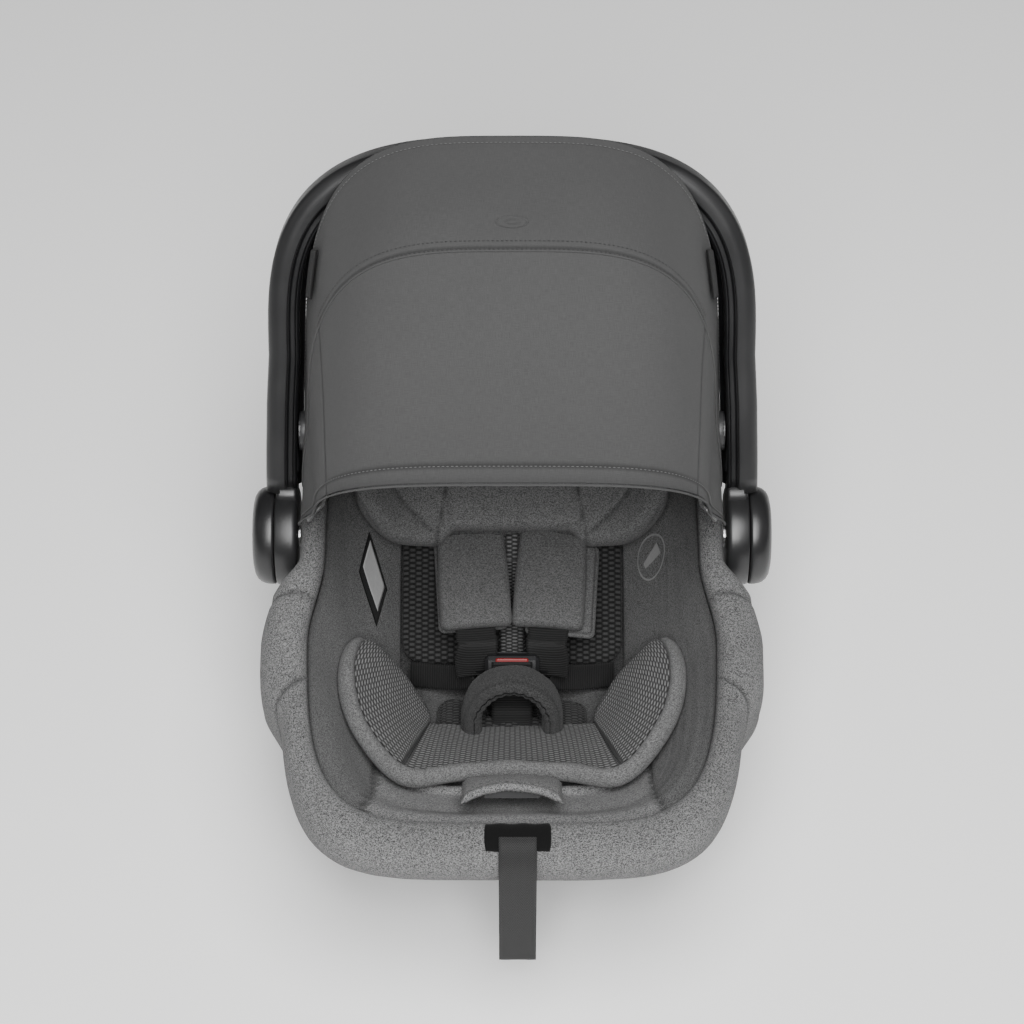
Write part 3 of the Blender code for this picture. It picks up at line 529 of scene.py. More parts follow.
def make_rim():
    profile = rim_profile()

    def at(level, t):
        inset, height = profile[level][0], profile[level][3]
        x, y, z = rim_point(t, profile[level])
        top = smooth_step(height, -0.05, 0.004)
        across = min(max((RIM_WIDTH - inset) / RIM_WIDTH, 0.0), 1.0)
        seam = 0.0
        if abs(x) > 0.12:
            front = FRONT_SEAM - 0.022 * across + 0.35 * min(height, 0.0)
            seam = ridge(y, REAR_SEAM + 0.004 * across, 0.0022) + ridge(y, front, 0.0024)
        puff = crumple((x, y, z), 0.05, 0.0012) + crumple((x, y, z), 0.018, 0.0006, 3.0)
        gather = smooth_step(-height, 0.03, 0.052) * 0.0016 * math.sin(t * 47 + 2 * math.sin(t * 9))
        push = (puff + gather - 0.0022 * seam) * (0.25 + 0.75 * top)
        if inset > 0.0205 or level > HIDDEN_LEVEL:
            push *= 0.2
        rise = push * (1.0 if height > 0 else 0.3)
        point = (x + math.cos(t) * push, y + math.sin(t) * push, z + rise)
        return point, min(seam * 0.8 + ridge(inset, 0.0215, 0.0009) * (height > -0.0056), 1.0)
    grid, creases = marked(range(RIM_LEVELS), rim_angles(), at)
    rim = surface("rim_padding", grid, RIM_CLOTH, "seat", "rim_fabric", ("rim_cover",),
                  closed_rows=True, closed_columns=True, creases=creases)
    return rim


WALL_STEPS = ((0.022, 0.035, 0.035), (0.036, 0.052, 0.041), (0.053, 0.071, 0.048),
              (0.069, 0.094, 0.055), (0.08, 0.116, 0.063))
WALL_SHARES = (0.0, 0.3, 0.58, 0.82, 1.0)
WALL_ROWS = 34


def panel_half_width(share):
    """Half the width of the foot panel between its seams, at a share of the wall's depth."""
    return mix(0.121, 0.11, share)


def wall_point(t, share, lift=0.0):
    """The inner wall at angle t, from the rim seam (0) to the floor (1). lift is off the surface."""
    k = max(i for i in range(4) if share >= WALL_SHARES[i] or i == 0)
    f = min(max((share - WALL_SHARES[k]) / (WALL_SHARES[k + 1] - WALL_SHARES[k]), 0.0), 1.0)
    side, foot, head = (mix(a, b, f) for a, b in zip(WALL_STEPS[k], WALL_STEPS[k + 1]))
    x, y = outline(t, side + lift, foot + lift, head + lift)
    dip = 0.0085 * smooth_step(-y, 0.03, 0.1)
    dip *= smooth_step(share, 0.25, 0.55) * (1 - smooth_step(share, 0.92, 1.0))
    z = mix(rim_height(y) - 0.01, seat_level(y), share) - dip
    return np.array([x, y, z])


def make_walls():
    angles = list(np.linspace(0, 2 * math.pi, 260, endpoint=False))
    for turn in (-0.43, 0.43):
        middle = 1.5 * math.pi + turn
        angles += [a % (2 * math.pi) for a in np.linspace(middle - 0.05, middle + 0.05, 24)]
    angles = sorted(set(angles))

    def at(share, t):
        point = wall_point(t, share)
        seam = 0.0
        if point[1] < -0.15:
            seam = 1.4 * ridge(abs(point[0]), panel_half_width(share), 0.0019)
        puff = 0.003 * math.sin(math.pi * min(share * 1.15, 1.0)) ** 1.5
        puff += (0.0045 * smooth_step(share, 0.45, 0.85) * (1 - smooth_step(share, 0.95, 1.0))
                 * (math.sin(t) > -0.2))
        shift = puff * 0.8 - 0.003 * seam * (share > 0.02)
        shift += crumple(point, 0.06, 0.0018, 5.0) * math.sin(math.pi * share)
        return wall_point(t, share, shift), min(seam + ridge(share, 0.0, 0.03), 1.0)
    grid, creases = marked(np.linspace(0.0, 1.0, WALL_ROWS), angles, at)
    # The floor rows inside the walls; their marks paint shade on them, fully on the three that step
    # down and less further in.
    for shrink, drop in ((0.995, 0.004), (0.96, 0.005), (0.86, 0.004), (0.7, 0.0), (0.52, 0.0),
                         (0.34, 0.0), (0.16, 0.0)):
        edge = [outline(t, *WALL_STEPS[-1]) for t in angles]
        grid.append([(x * shrink, y * shrink, seat_level(y * shrink) - drop) for x, y in edge])
        creases.append([1.0 if drop else 0.4] * len(angles))

    def panel(row, column):
        x, y, _ = grid[row][column]
        return int(y < -0.19 and abs(x) < panel_half_width(min(row / (WALL_ROWS - 1), 1.0)))
    # The walls take the shaded copy of the heather and the foot panel the lit one: painted shade.
    obj = surface("seat_walls", grid, [SHADED_INNER_CLOTH, FOOT_CLOTH], "seat", "inner_fabric",
                  ("inner_cover",), closed_columns=True, creases=creases, pick=panel)
    return thicken(obj, 0.0016)


# ---- lights, floor and camera ----
WORLD_LIGHT, KEY_LIGHT, FRONT_LIGHT, SIDE_LIGHT, FLOOR_GLOW = 0.7, 96.0, 84.0, 2.0, 0.2
FLOOR_REACH, FLOOR_LEVEL = 6.0, -0.0005
CAMERA_PLACE, CAMERA_AIM, LENS = (0.0, -1.673, 2.085), (0.0, 0.0318, 0.2563), 103.0
LAMPS = (("key", (0.15, -1.1, 2.9), 1.7, KEY_LIGHT), ("front", (0.0, -2.1, 2.35), 1.3, FRONT_LIGHT),
         ("left", (-2.4, -0.2, 1.5), 1.4, SIDE_LIGHT), ("right", (2.4, -0.2, 1.5), 1.4, SIDE_LIGHT))


def staged(name, data, place=(0.0, 0.0, 0.0), aim=None):
    """Puts a floor, lamp or camera in the scene, turned to look at aim."""
    obj = bpy.data.objects.new(name, data)
    bpy.context.scene.collection.objects.link(obj)
    obj.location = place
    if aim:
        obj.rotation_euler = (Vector(aim) - Vector(place)).to_track_quat("-Z", "Y").to_euler()
    return obj


def make_studio():
    floor = bpy.data.meshes.new("floor")
    corners = ((-1, -1), (1, -1), (1, 1), (-1, 1))
    floor.from_pydata([(x * FLOOR_REACH, y * FLOOR_REACH, FLOOR_LEVEL) for x, y in corners], [],
                      [(0, 1, 2, 3)])
    ground = staged("floor", floor)
    look = Look("studio_floor", 0.9)
    look.shader.inputs["Emission Color"].default_value = (1.0, 1.0, 1.0, 1.0)
    look.shader.inputs["Emission Strength"].default_value = FLOOR_GLOW
    floor.materials.append(look.done((0.9, 0.9, 0.895)))
    world = bpy.data.worlds.new("studio")
    world.use_nodes = True
    nodes, links = world.node_tree.nodes, world.node_tree.links
    way, height, fade = (nodes.new(f"ShaderNode{kind}")
                         for kind in ("TexCoord", "SeparateXYZ", "MapRange"))
    links.new(way.outputs["Generated"], height.inputs[0])
    for socket, number in zip(fade.inputs[1:], (0.0, 0.9, WORLD_LIGHT * 0.12, WORLD_LIGHT)):
        socket.default_value = number
    links.new(height.outputs[2], fade.inputs[0])
    links.new(fade.outputs[0], nodes["Background"].inputs["Strength"])
    bpy.context.scene.world = world
    for name, place, size, power in LAMPS:
        data = bpy.data.lights.new(name, "AREA")
        data.shape, data.size, data.energy = "DISK", size, power
        staged(name, data, place, (0, 0, 0.25))
    data = bpy.data.cameras.new("camera")
    data.lens, data.sensor_width = LENS, 36.0
    bpy.context.scene.camera = staged("camera", data, CAMERA_PLACE, CAMERA_AIM)


def dress_frame():
    """Gives every CAD node the look of its slot."""
    for part in frame["record"]["subparts"]:
        obj = frame["nodes"][part["node"]]
        obj.data.materials.clear()
        obj.data.materials.append(SLOTS[part["material_slot"]])


# ---- handle ----
HANDLE = tilted((0.0, 0.0, 0.0), -HANDLE_LEAN)
HANDLE_RADIUS, ARCH_BASE, ARCH_HALF_WIDTH, HANDLE_POWER = 0.333, 0.165, 0.1885, 3.15
BAR_HALF_DEPTH = 0.0168
BUTTON_HEIGHT, BUTTON_HALF_WIDTH, BUTTON_HALF_LENGTH = 0.08, 0.008, 0.0215


def handle_line():
    """The handle's centre line: x, r, and the outward direction, from the left hub to the right."""
    arm = [(0.0445, 0.194), (0.058, 0.1938), (0.08, 0.1932), (0.1, 0.19235), (0.122, 0.1915),
           (0.144, 0.19)]
    points = [(-x, r) for r, x in arm]
    count = 110
    for i in range(count + 1):
        angle = math.pi * (1 - i / count)
        cosine, sine = math.cos(angle), math.sin(angle)
        stretch = (abs(cosine) ** HANDLE_POWER + abs(sine) ** HANDLE_POWER) ** (-1 / HANDLE_POWER)
        points.append((ARCH_HALF_WIDTH * cosine * stretch,
                       ARCH_BASE + (HANDLE_RADIUS - ARCH_BASE) * sine * stretch))
    points += [(x, r) for r, x in reversed(arm)]
    line = []
    for i, (x, r) in enumerate(points):
        before, after = points[max(i - 1, 0)], points[min(i + 1, len(points) - 1)]
        along = Vector((after[0] - before[0], after[1] - before[1])).normalized()
        line.append((x, r, -along.y, along.x))
    return line


def rounded_section(corners, radius, steps=4):
    """A closed outline through corners, each with its own rounding radius or the common one."""
    points = []
    n = len(corners)
    for i in range(n):
        here = Vector(corners[i][:2])
        turn = corners[i][2] if len(corners[i]) > 2 else radius
        back = Vector(corners[i - 1][:2]) - here
        ahead = Vector(corners[(i + 1) % n][:2]) - here
        turn = min(turn, back.length * 0.45, ahead.length * 0.45)
        start, end = here + back.normalized() * turn, here + ahead.normalized() * turn
        for k in range(steps + 1):
            f = k / steps
            points.append(tuple(start * (1 - f) ** 2 + here * 2 * f * (1 - f) + end * f ** 2))
    return points


def plate(low_x, high_x, half_y, radius, steps=4):
    """A rounded rectangle from low_x to high_x, symmetrical in y."""
    return rounded_section([(low_x, -half_y), (high_x, -half_y), (high_x, half_y), (low_x, half_y)],
                           radius, steps)


def facing(ring, sign):
    """A ring in the order that turns its faces outward on the side of the given sign."""
    return ring if sign > 0 else ring[::-1]


def handle_bar(name, corners, radius, material, slot, replaced):
    """A moulding along the whole handle, from its section."""
    section = rounded_section(corners, radius)
    grid = [[HANDLE(x + out_x * a, d, r + out_r * a) for a, d in section]
            for x, r, out_x, out_r in handle_line()]
    closed(name, grid, material, "handle", slot, replaced)


def turned(name, profile, sign, replaced=()):
    """A piece of the handle turned about its axis. profile is (radius, x) pairs."""
    grid = [[(sign * x, radius * math.cos(-sign * a), radius * math.sin(-sign * a)) for a in turns(72)]
            for radius, x in profile]
    closed(name, grid, HANDLE_PLASTIC, "handle", "handle_plastic", replaced)


def oblong(profile, sign):
    """Rings of a press button or its bezel. profile is (x, growth) pairs."""
    grid = []
    for x, grow in profile:
        wide, long = 1 + grow / 0.008, 1 + grow / 0.0215
        ring = [HANDLE(sign * x, d * wide, BUTTON_HEIGHT + r * long)
                for d, r in plate(-BUTTON_HALF_WIDTH, BUTTON_HALF_WIDTH, BUTTON_HALF_LENGTH, 0.0079, 6)]
        grid.append(facing(ring, -sign))
    return grid


def make_mount(side, sign):
    """The canopy's clip: a round boss at its pivot and the arm that holds it."""
    y, z = PIVOT
    boss = ((0.004, 0.17), (0.015, 0.1702), (0.0164, 0.1708), (0.0168, 0.1722), (0.0168, 0.1762),
            (0.0162, 0.1776), (0.0148, 0.1783), (0.008, 0.1784), (0.007, 0.1778), (0.002, 0.1778))
    grid = [[(sign * x, y + radius * math.cos(a), z - sign * radius * math.sin(a)) for a in turns(48)]
            for radius, x in boss]
    closed(f"canopy_clip_{side}", grid, MOUNT_PLASTIC, "seat", "trim_plastic")
    low, high = 0.038, 0.082
    grid = []
    for height in np.linspace(low, high, 12):
        wide = mix(1.5, 1.0, smooth_step(height, low, 0.058))
        ring = [(sign * x, y - 0.02 * (high - height) + d * wide, height)
                for x, d in plate(0.1706, 0.1772, 0.0085, 0.0022)]
        grid.append(facing(ring, sign))
    closed(f"canopy_arm_{side}", grid, MOUNT_PLASTIC, "seat", "trim_plastic")


def make_handle():
    front, back = -BAR_HALF_DEPTH, BAR_HALF_DEPTH
    # The frame moulding is drawn in the darker copy of the handle plastic as painted shade, and its
    # back reaches further in to close the dark gap behind the canopy.
    handle_bar("handle_frame_moulding",
               [(-0.0128, front + 0.005, 0.003), (-0.01, front + 0.0032, 0.001),
                (-0.0092, front + 0.006, 0.001), (-0.005, front + 0.006, 0.001),
                (-0.0042, front + 0.004, 0.001), (0.0057, front + 0.004, 0.0014),
                (0.0057, back - 0.0006, 0.0014), (-0.0166, back, 0.003),
                (-0.0166, back - 0.006, 0.002), (-0.0128, back - 0.01, 0.002)],
               0.003, SHADED_GROOVE_PLASTIC, "handle_plastic", ("handle_frame",))
    handle_bar("handle_outer_strip",
               [(-0.0034, front + 0.0034, 0.0006), (-0.003, front + 0.0004, 0.0012),
                (0.006, front - 0.0004, 0.006), (0.0134, front + 0.0046, 0.006),
                (0.0134, back - 0.0052, 0.005), (0.0098, back - 0.0014, 0.003),
                (0.0062, back - 0.0012, 0.001), (0.0062, front + 0.0036, 0.0008)],
               0.002, COVER_PLASTIC, "handle_cover_plastic", ("handle_cover",))
    for side, sign in SIDES:
        make_mount(side, sign)
        turned(f"hub_{side}", [(0.012, 0.1812), (0.0385, 0.1812), (0.0405, 0.1818), (0.0418, 0.1835),
                               (0.042, 0.186), (0.042, 0.1985), (0.0414, 0.1998), (0.04, 0.2002),
                               (0.031, 0.2002), (0.0305, 0.1995)], sign)
        turned(f"hub_cap_cover_{side}",
               [(0.03, 0.2008), (0.0405, 0.2008), (0.0416, 0.2014), (0.0418, 0.203), (0.0417, 0.2065),
                (0.0411, 0.21), (0.0398, 0.2132), (0.0374, 0.216), (0.034, 0.218), (0.029, 0.2192),
                (0.018, 0.2198), (0.003, 0.22)], sign, (f"hub_cap_{side}",))
        neck = facing(plate(0.1815, 0.199, BAR_HALF_DEPTH, 0.003), sign)
        grid = [[HANDLE(sign * x, d, r) for x, d in neck] for r in (0.02, 0.03, 0.04, 0.048)]
        closed(f"handle_neck_{side}", grid, HANDLE_PLASTIC, "handle", "handle_plastic")
        grid = oblong(((0.1822, 0.0), (0.1806, 0.0), (0.18, -0.0004), (0.18, -0.001),
                       (0.1807, -0.0013)), sign)
        surface(f"button_bezel_{side}", grid, TRIM_PLASTIC, "handle", "trim_plastic",
                closed_columns=True)
        grid = oblong(((0.185, -0.0022), (0.1818, -0.0022), (0.1809, -0.0026), (0.1805, -0.0034),
                       (0.1804, -0.006)), sign)
        closed(f"press_button_{side}", grid, TRIM_PLASTIC, f"handle_button_{side}", "trim_plastic",
               (f"handle_button_{side}",))


# ---- canopy ----
RIBS = (((-0.04, 0.06), (-0.12, 0.19)), ((-0.03, 0.058), (-0.092, 0.25)),
        ((-0.015, 0.056), (-0.05, 0.3)), ((0.006, 0.056), (-0.002, 0.332)),
        ((0.03, 0.056), (0.045, 0.347)), ((0.06, 0.062), (0.104, 0.352)))
CANOPY_POWER = 3.6
HEM_HALF_WIDTH, CREST_HALF_WIDTH, BASE_HALF_WIDTH = 0.161, 0.1715, 0.1757
MID_SEAM, CREST, SIDE_SEAM = 3.0, 5.0, 0.205
CANOPY_PATH = spline([(*base, *top) for base, top in RIBS], 101).tolist()
PIVOT_POINT = np.array([0.0, *PIVOT])


def canopy_point(position, across, lift=0.0):
    """A point of the canopy. position runs from hem (0) to crest (5), across from 0 to 1."""
    place = min(max(position / CREST, 0.0), 1.0) * (len(CANOPY_PATH) - 1)
    k = min(int(place), len(CANOPY_PATH) - 2)
    side_y, side_z, top_y, top_z = (mix(a, b, place - k)
                                    for a, b in zip(CANOPY_PATH[k], CANOPY_PATH[k + 1]))
    half = mix(HEM_HALF_WIDTH, CREST_HALF_WIDTH, position / CREST)
    angle = math.pi * (1 - across)
    cosine, sine = math.cos(angle), math.sin(angle)
    stretch = (abs(cosine) ** CANOPY_POWER + abs(sine) ** CANOPY_POWER) ** (-1 / CANOPY_POWER)
    height = sine * stretch
    flare = (BASE_HALF_WIDTH / half - 1) * (1 - smooth_step(height, 0.0, 0.35))
    x = half * cosine * stretch * (1 + flare)
    point = np.array([x, mix(side_y, top_y, height), mix(side_z, top_z, height)])
    outward = point - PIVOT_POINT
    outward /= np.linalg.norm(outward)
    return point + outward * lift


def across_steps(count, extra=()):
    """Evenly spaced shares over the arch, closer together at the corners and at given places."""
    steps = [0.5 - 0.5 * math.cos(math.pi * i / count) for i in range(count + 1)]
    steps = [mix(i / count, s, 0.25) for i, s in enumerate(steps)]
    for place in extra:
        steps += list(np.linspace(place - 0.006, place + 0.006, 9))
    return sorted(set(round(s, 5) for s in steps if 0 <= s <= 1))


def cut_size(grid):
    """The flat width, length and area of a sheet given by rows of points."""
    grid = np.asarray(grid)
    width, length = lengths(grid, 1).max(), lengths(grid, 0).max()
    first = np.cross(grid[1:, :-1] - grid[:-1, :-1], grid[:-1, 1:] - grid[:-1, :-1])
    second = np.cross(grid[1:, :-1] - grid[1:, 1:], grid[:-1, 1:] - grid[1:, 1:])
    area = (np.linalg.norm(first, axis=2) + np.linalg.norm(second, axis=2)).sum() / 2
    return (float(width), float(length)), float(min(area, width * length))


def sheet_grid(positions, steps, lift, seams, sides=False):
    """Points and crease marks of a canopy sheet. seams are (position, width) pairs across it, and
    sides adds the two seams that run along it."""
    def at(p, s):
        seam = (ridge(s, SIDE_SEAM, 0.0022) + ridge(s, 1 - SIDE_SEAM, 0.0022)) * sides
        inside = smooth_step(min(s, 1 - s), SIDE_SEAM - 0.004, SIDE_SEAM + 0.004)
        seam += sum(ridge(p, place, width) * (inside if abs(place - MID_SEAM) < 0.5 else 1)
                    for place, width in seams)
        seam = min(seam, 1.0)
        arch = math.sin(math.pi * s)
        rough = crumple(canopy_point(p, s), 0.075, 0.0022, 2.0)
        rough += crumple(canopy_point(p, s), 0.03, 0.0007, 9.0)
        share = (p - MID_SEAM) / (CREST - MID_SEAM) if p > MID_SEAM else p / MID_SEAM
        between = math.sin(math.pi * min(max(share, 0), 1))
        sag = (rough - 0.004) * arch * between
        return canopy_point(p, s, lift + sag - 0.001 * seam), seam * 0.8
    return marked(positions, steps, at)


STITCH, STITCH_GAP, THREAD_RADIUS = 0.0022, 0.0014, 0.00032


def stitches(name, path, body, material=THREAD):
    """A row of short threads lying along a path of points, as one mesh."""
    path = np.array(path)
    steps = lengths(path)
    points, faces = [], []
    place = 0.0
    while place + STITCH < steps[-1]:
        ends = [np.array([np.interp(place + d, steps, path[:, k]) for k in range(3)])
                for d in (0.0, STITCH / 2, STITCH)]
        along = ends[2] - ends[0]
        along /= np.linalg.norm(along)
        side = np.cross(along, (0.3, 0.5, 0.81))
        side /= np.linalg.norm(side)
        up = np.cross(side, along)
        base = len(points)
        for end, size in zip(ends, (0.35, 1.0, 0.35)):
            points += [end + (side * math.cos(a) + up * math.sin(a)) * THREAD_RADIUS * size
                       for a in turns(5)]
        rings = grid_faces(3, 5, closed_columns=True) + [(4, 3, 2, 1, 0), (10, 11, 12, 13, 14)]
        faces += [tuple(base + corner for corner in ring) for ring in rings]
        place += STITCH + STITCH_GAP
    uvs = [(0, 0)] * sum(len(face) for face in faces)
    return add_mesh(name, points, faces, uvs, material, body, "canopy_fabric")


def back_sheet_rows(steps):
    """The back sheet: from the crest, hanging a little slack, to the rim behind the head."""
    rows = []
    for step in np.linspace(0.0, 1.0, 40):
        row = []
        for s in steps:
            angle = math.pi * (1 - s)
            start = canopy_point(CREST, s)
            x, y = outline(angle, 0.003, 0.0, 0.016)
            y = max(y, 0.066)
            end = np.array([x, y, rim_height(y) + 0.0125])
            sag = max(math.sin(angle), 0.0)
            first = start + np.array([0, -0.019, -0.112]) * sag
            last = end + np.array([0, -0.055, 0.052]) * sag
            point = (start * (1 - step) ** 3 + first * 3 * step * (1 - step) ** 2
                     + last * 3 * step ** 2 * (1 - step) + end * step ** 3)
            rough = crumple(point, 0.06, 0.003, 4.0) + crumple(point, 0.026, 0.001, 1.0)
            row.append(point + np.array([0, 0.4, -0.9]) * rough * math.sin(math.pi * step) * sag)
        rows.append(row)
    return rows


def canopy_sheet(name, rows, replaced, body="", creases=None):
    obj = surface(name, rows, CANOPY_CLOTH, body, "canopy_fabric", replaced, creases=creases,
                  centre=True)
    return thicken(obj, 0.0013)


def make_oval_patch():
    """A small raised oval on the top sheet, just behind the middle seam."""
    grid = []
    for inset, lift in ((1.06, 0.0002), (1.02, 0.0016), (0.94, 0.002), (0.86, 0.0016), (0.8, 0.0004),
                        (0.7, 0.0003), (0.5, 0.001), (0.22, 0.0014)):
        grid.append([canopy_point(3.42 + 0.36 * math.sin(a) * inset * 0.34,
                                  0.5 + 0.0128 * math.cos(a) * inset / (math.pi * 0.168),
                                  -0.0026 + lift) for a in turns(64)])
    return closed("canopy_oval_patch", grid, CANOPY_CLOTH, "", "canopy_fabric")


def make_side_tag(side, sign):
    """A blank woven tag lying slantwise where the top sheet turns down."""
    grid = []
    for v in np.linspace(0, 1, 20):
        row = []
        for u in np.linspace(0, 1, 8):
            position = mix(mix(5.0, 4.42, u), mix(4.85, 3.85, u), v)
            share = mix(mix(0.186, 0.214, u), mix(0.149, 0.19, u), v)
            lift = 0.0019 + 0.0012 * math.sin(math.pi * u) + 0.0008 * u
            row.append(canopy_point(position, share if sign < 0 else 1 - share, lift))
        grid.append(row)
    return thicken(surface(f"side_tag_{side}", grid, BLACK_LABEL, "", "webbing"), 0.0008, 0.0)


def make_canopy():
    steps = across_steps(96, (SIDE_SEAM, 1 - SIDE_SEAM))
    middle = [s for s in steps if SIDE_SEAM + 0.004 < s < 1 - SIDE_SEAM - 0.004]
    hem_at, crest_at = 0.22, 4.86
    front = list(np.linspace(0.0, 0.4, 22)) + list(np.linspace(0.46, 2.98, 34))
    grid, creases = sheet_grid(front, steps, -0.0004, ((hem_at, 0.035),), sides=True)
    front_size, front_area = cut_size(grid)
    panel = canopy_sheet("canopy_front_sheet", grid, ("canopy_front_panel",), creases=creases)
    hem = []
    for k in range(9):
        turn = math.pi * (k / 8 - 0.5)
        hem.append([canopy_point(0.02, s) + np.array([0.0, -0.0018, -0.0006]) * (1 + math.cos(turn))
                    + (canopy_point(0.02, s, 0.0019) - canopy_point(0.02, s)) * math.sin(turn)
                    for s in steps])
    fold = surface("canopy_hem_fold", hem, CANOPY_CLOTH, "canopy_front", "canopy_fabric", centre=True)
    top = np.concatenate([np.linspace(2.9, 3.06, 9), np.linspace(3.12, 4.9, 26),
                          np.linspace(4.92, CREST, 5)])
    grid, creases = sheet_grid(top, steps, 0.0008, ((2.965, 0.022), (crest_at, 0.02)))
    top_size, top_area = cut_size(grid)
    roof = canopy_sheet("canopy_top_sheet", grid, ("canopy_top_panel",), creases=creases)
    rows = back_sheet_rows(steps)
    back_size, back_area = cut_size(rows)
    back = canopy_sheet("canopy_back_sheet", rows, ("canopy_back_panel",), "seat")
    hem_row = stitches("hem_stitching", [canopy_point(hem_at, s, 0.0009) for s in steps[4:-4]],
                       "canopy_front")
    seam_rows = [stitches(f"seam_stitching_{int(place * 1000)}",
                          [canopy_point(place, s, 0.0016) for s in middle], "canopy_mid", DARK_THREAD)
                 for place in (2.925, 3.055)]
    crest_row = stitches("crest_stitching", [canopy_point(crest_at, s, 0.0014) for s in steps[4:-4]],
                         "seat")
    patch = make_oval_patch()
    tags = [make_side_tag(side, sign) for side, sign in SIDES]
    front_bend = ("canopy_mid", "canopy_front", canopy_point(2.6, 0.5), canopy_point(0.5, 0.5))
    top_bend = ("seat", "canopy_mid", canopy_point(4.8, 0.5), canopy_point(3.2, 0.5))
    for obj, bend in [(panel, front_bend)] + [(piece, top_bend) for piece in (roof, patch, *tags)]:
        a, b, start, end = bend
        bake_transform(obj)


# ---- cushions, ribbons and patches ----
def rounded_rectangle(half_x, half_y, corner, around):
    """Evenly spaced points round a rectangle with rounded corners."""
    corner = min(corner, half_x * 0.98, half_y * 0.98)
    path = []
    for side_x, side_y, start in ((1, 1, 0), (-1, 1, 90), (-1, -1, 180), (1, -1, 270)):
        for k in range(9):
            a = math.radians(start + 90 * k / 8)
            path.append((side_x * (half_x - corner) + corner * math.cos(a),
                         side_y * (half_y - corner) + corner * math.sin(a)))
    path.append(path[0])
    path = np.array(path)
    steps = lengths(path)
    places = np.linspace(0, steps[-1], around, endpoint=False)
    return np.stack([np.interp(places, steps, path[:, k]) for k in range(2)], 1)


def cushion(name, at, half, thickness, material, replaced=(), corner=0.01, crown=0.003,
            edge=0.006, seam=None, dent=None, bend=None, rings=20, around=120, rough=0.0007, seed=0.0):
    """A crowned pad of the seat, in a local frame. dent(x, y) gives a depth and a crease mark,
    bend(x, y) a height that the whole pad follows, and seam how far in its sewn line runs."""
    reach = min(half) * 0.94
    insets = [reach * (k / rings) ** 1.6 for k in range(rings + 1)]
    if seam:
        insets = sorted(set(insets + list(np.linspace(max(seam - 0.002, 0.0003), seam + 0.002, 7))))
    rows = [(inset, 1) for inset in reversed(insets)] + [(inset, -1) for inset in insets[1:]]
    grid, flat, creases = [], [], []
    for inset, face in rows:
        swell = math.sqrt(max(1 - (1 - min(inset / edge, 1.0)) ** 2, 0.0))
        height = thickness / 2 * swell + crown * smooth_step(inset, 0.0, min(half)) * (face > 0)
        sewn = ridge(inset, seam, 0.0009) if seam and face > 0 else 0.0
        points, places, marks = [], [], []
        for x, y in rounded_rectangle(half[0] - inset, half[1] - inset,
                                      max(corner - inset * 0.7, 0.002), around):
            depth, mark = dent(x, y) if dent and face > 0 else (0.0, 0.0)
            lump = crumple((x, y, face), 0.032, rough, seed)
            lump += crumple((x, y, face), 0.012, rough * 0.4, seed)
            z = face * (height + lump * swell) - (0.0009 * sewn + depth * swell)
            points.append(at(x, y, z + (bend(x, y) if bend else 0.0)))
            places.append((x + (0.5 if face < 0 else 0.0), y))
            marks.append(min(sewn * 0.8 + mark, 1.0))
        grid.append(points)
        flat.append(places)
        creases.append(marks)
    obj = closed(name, grid, material, "seat", "knit_fabric", replaced, creases=creases, flat=flat)
    return obj


def ribbon(name, path, width, replaced=(), across=(1, 0, 0), material=STRAP, thickness=0.0014,
           count=60, curl=0.0):
    """A woven strap of the seat along a path, as a thin closed solid. across is the direction of its
    width, and curl is how far its edges turn down."""
    sides = np.repeat(np.array([across], float), len(path), 0)
    line = spline(np.concatenate([np.array(path, float), sides], 1), count)
    columns = np.linspace(-1, 1, 15)
    grid = []
    for i, row in enumerate(line):
        along = line[min(i + 1, count - 1), :3] - line[max(i - 1, 0), :3]
        along /= np.linalg.norm(along)
        side = row[3:] - along * (row[3:] @ along)
        side /= np.linalg.norm(side)
        up = np.cross(side, along)
        section = [(c, thickness / 2 * math.sqrt(max(1 - abs(c) ** 9, 0.04))) for c in columns]
        section += [(c, -h) for c, h in reversed(section)]
        grid.append([row[:3] + side * c * width / 2 + up * (h - curl * c * c) for c, h in section])
    closed(name, grid, material, "seat", "webbing", replaced)


def mesh_tree(obj):
    """A tree of a piece's faces, for laying points on it."""
    mesh = obj.data
    return BVHTree.FromPolygons([tuple(v.co) for v in mesh.vertices],
                                [tuple(p.vertices) for p in mesh.polygons])


def laid(tree, point, direction, lift):
    """Where a hub-frame point meets a surface along a direction, a little off it, in the hub frame."""
    spot, normal, _, _ = tree.ray_cast(Vector(np.array(point) + HUB), Vector(direction).normalized())
    if spot is None:
        return np.array(point, float)
    if normal.dot(Vector(direction)) > 0:
        normal = -normal
    return np.array(spot + normal * lift) - HUB


# ---- back, headrest and harness pads ----
STRIP_HALF_WIDTH = 0.0105


def make_back_pad():
    def dent(x, y):
        strip = ridge(abs(x), STRIP_HALF_WIDTH, 0.0014) + 0.6 * ridge(abs(x), 0.0135, 0.0012)
        row = 0.8 * ridge(y, 0.06, 0.0018) * (abs(x) > STRIP_HALF_WIDTH)
        return 0.0022 * strip + 0.0016 * row, min(strip + row, 1.0) * 0.9

    def at(x, y, z):
        return BACK(x, 0.155 + y, 0.0085 + z)
    pad = cushion("back_knit_pad", at, (0.0955, 0.136), 0.01, [BACK_KNIT, STRIP_KNIT], ("back_pad",),
                  corner=0.02, crown=0.003, dent=dent, rings=46, around=360, rough=0.0016)
    for polygon in pad.data.polygons:
        polygon.material_index = int(abs(polygon.center.x) < STRIP_HALF_WIDTH)


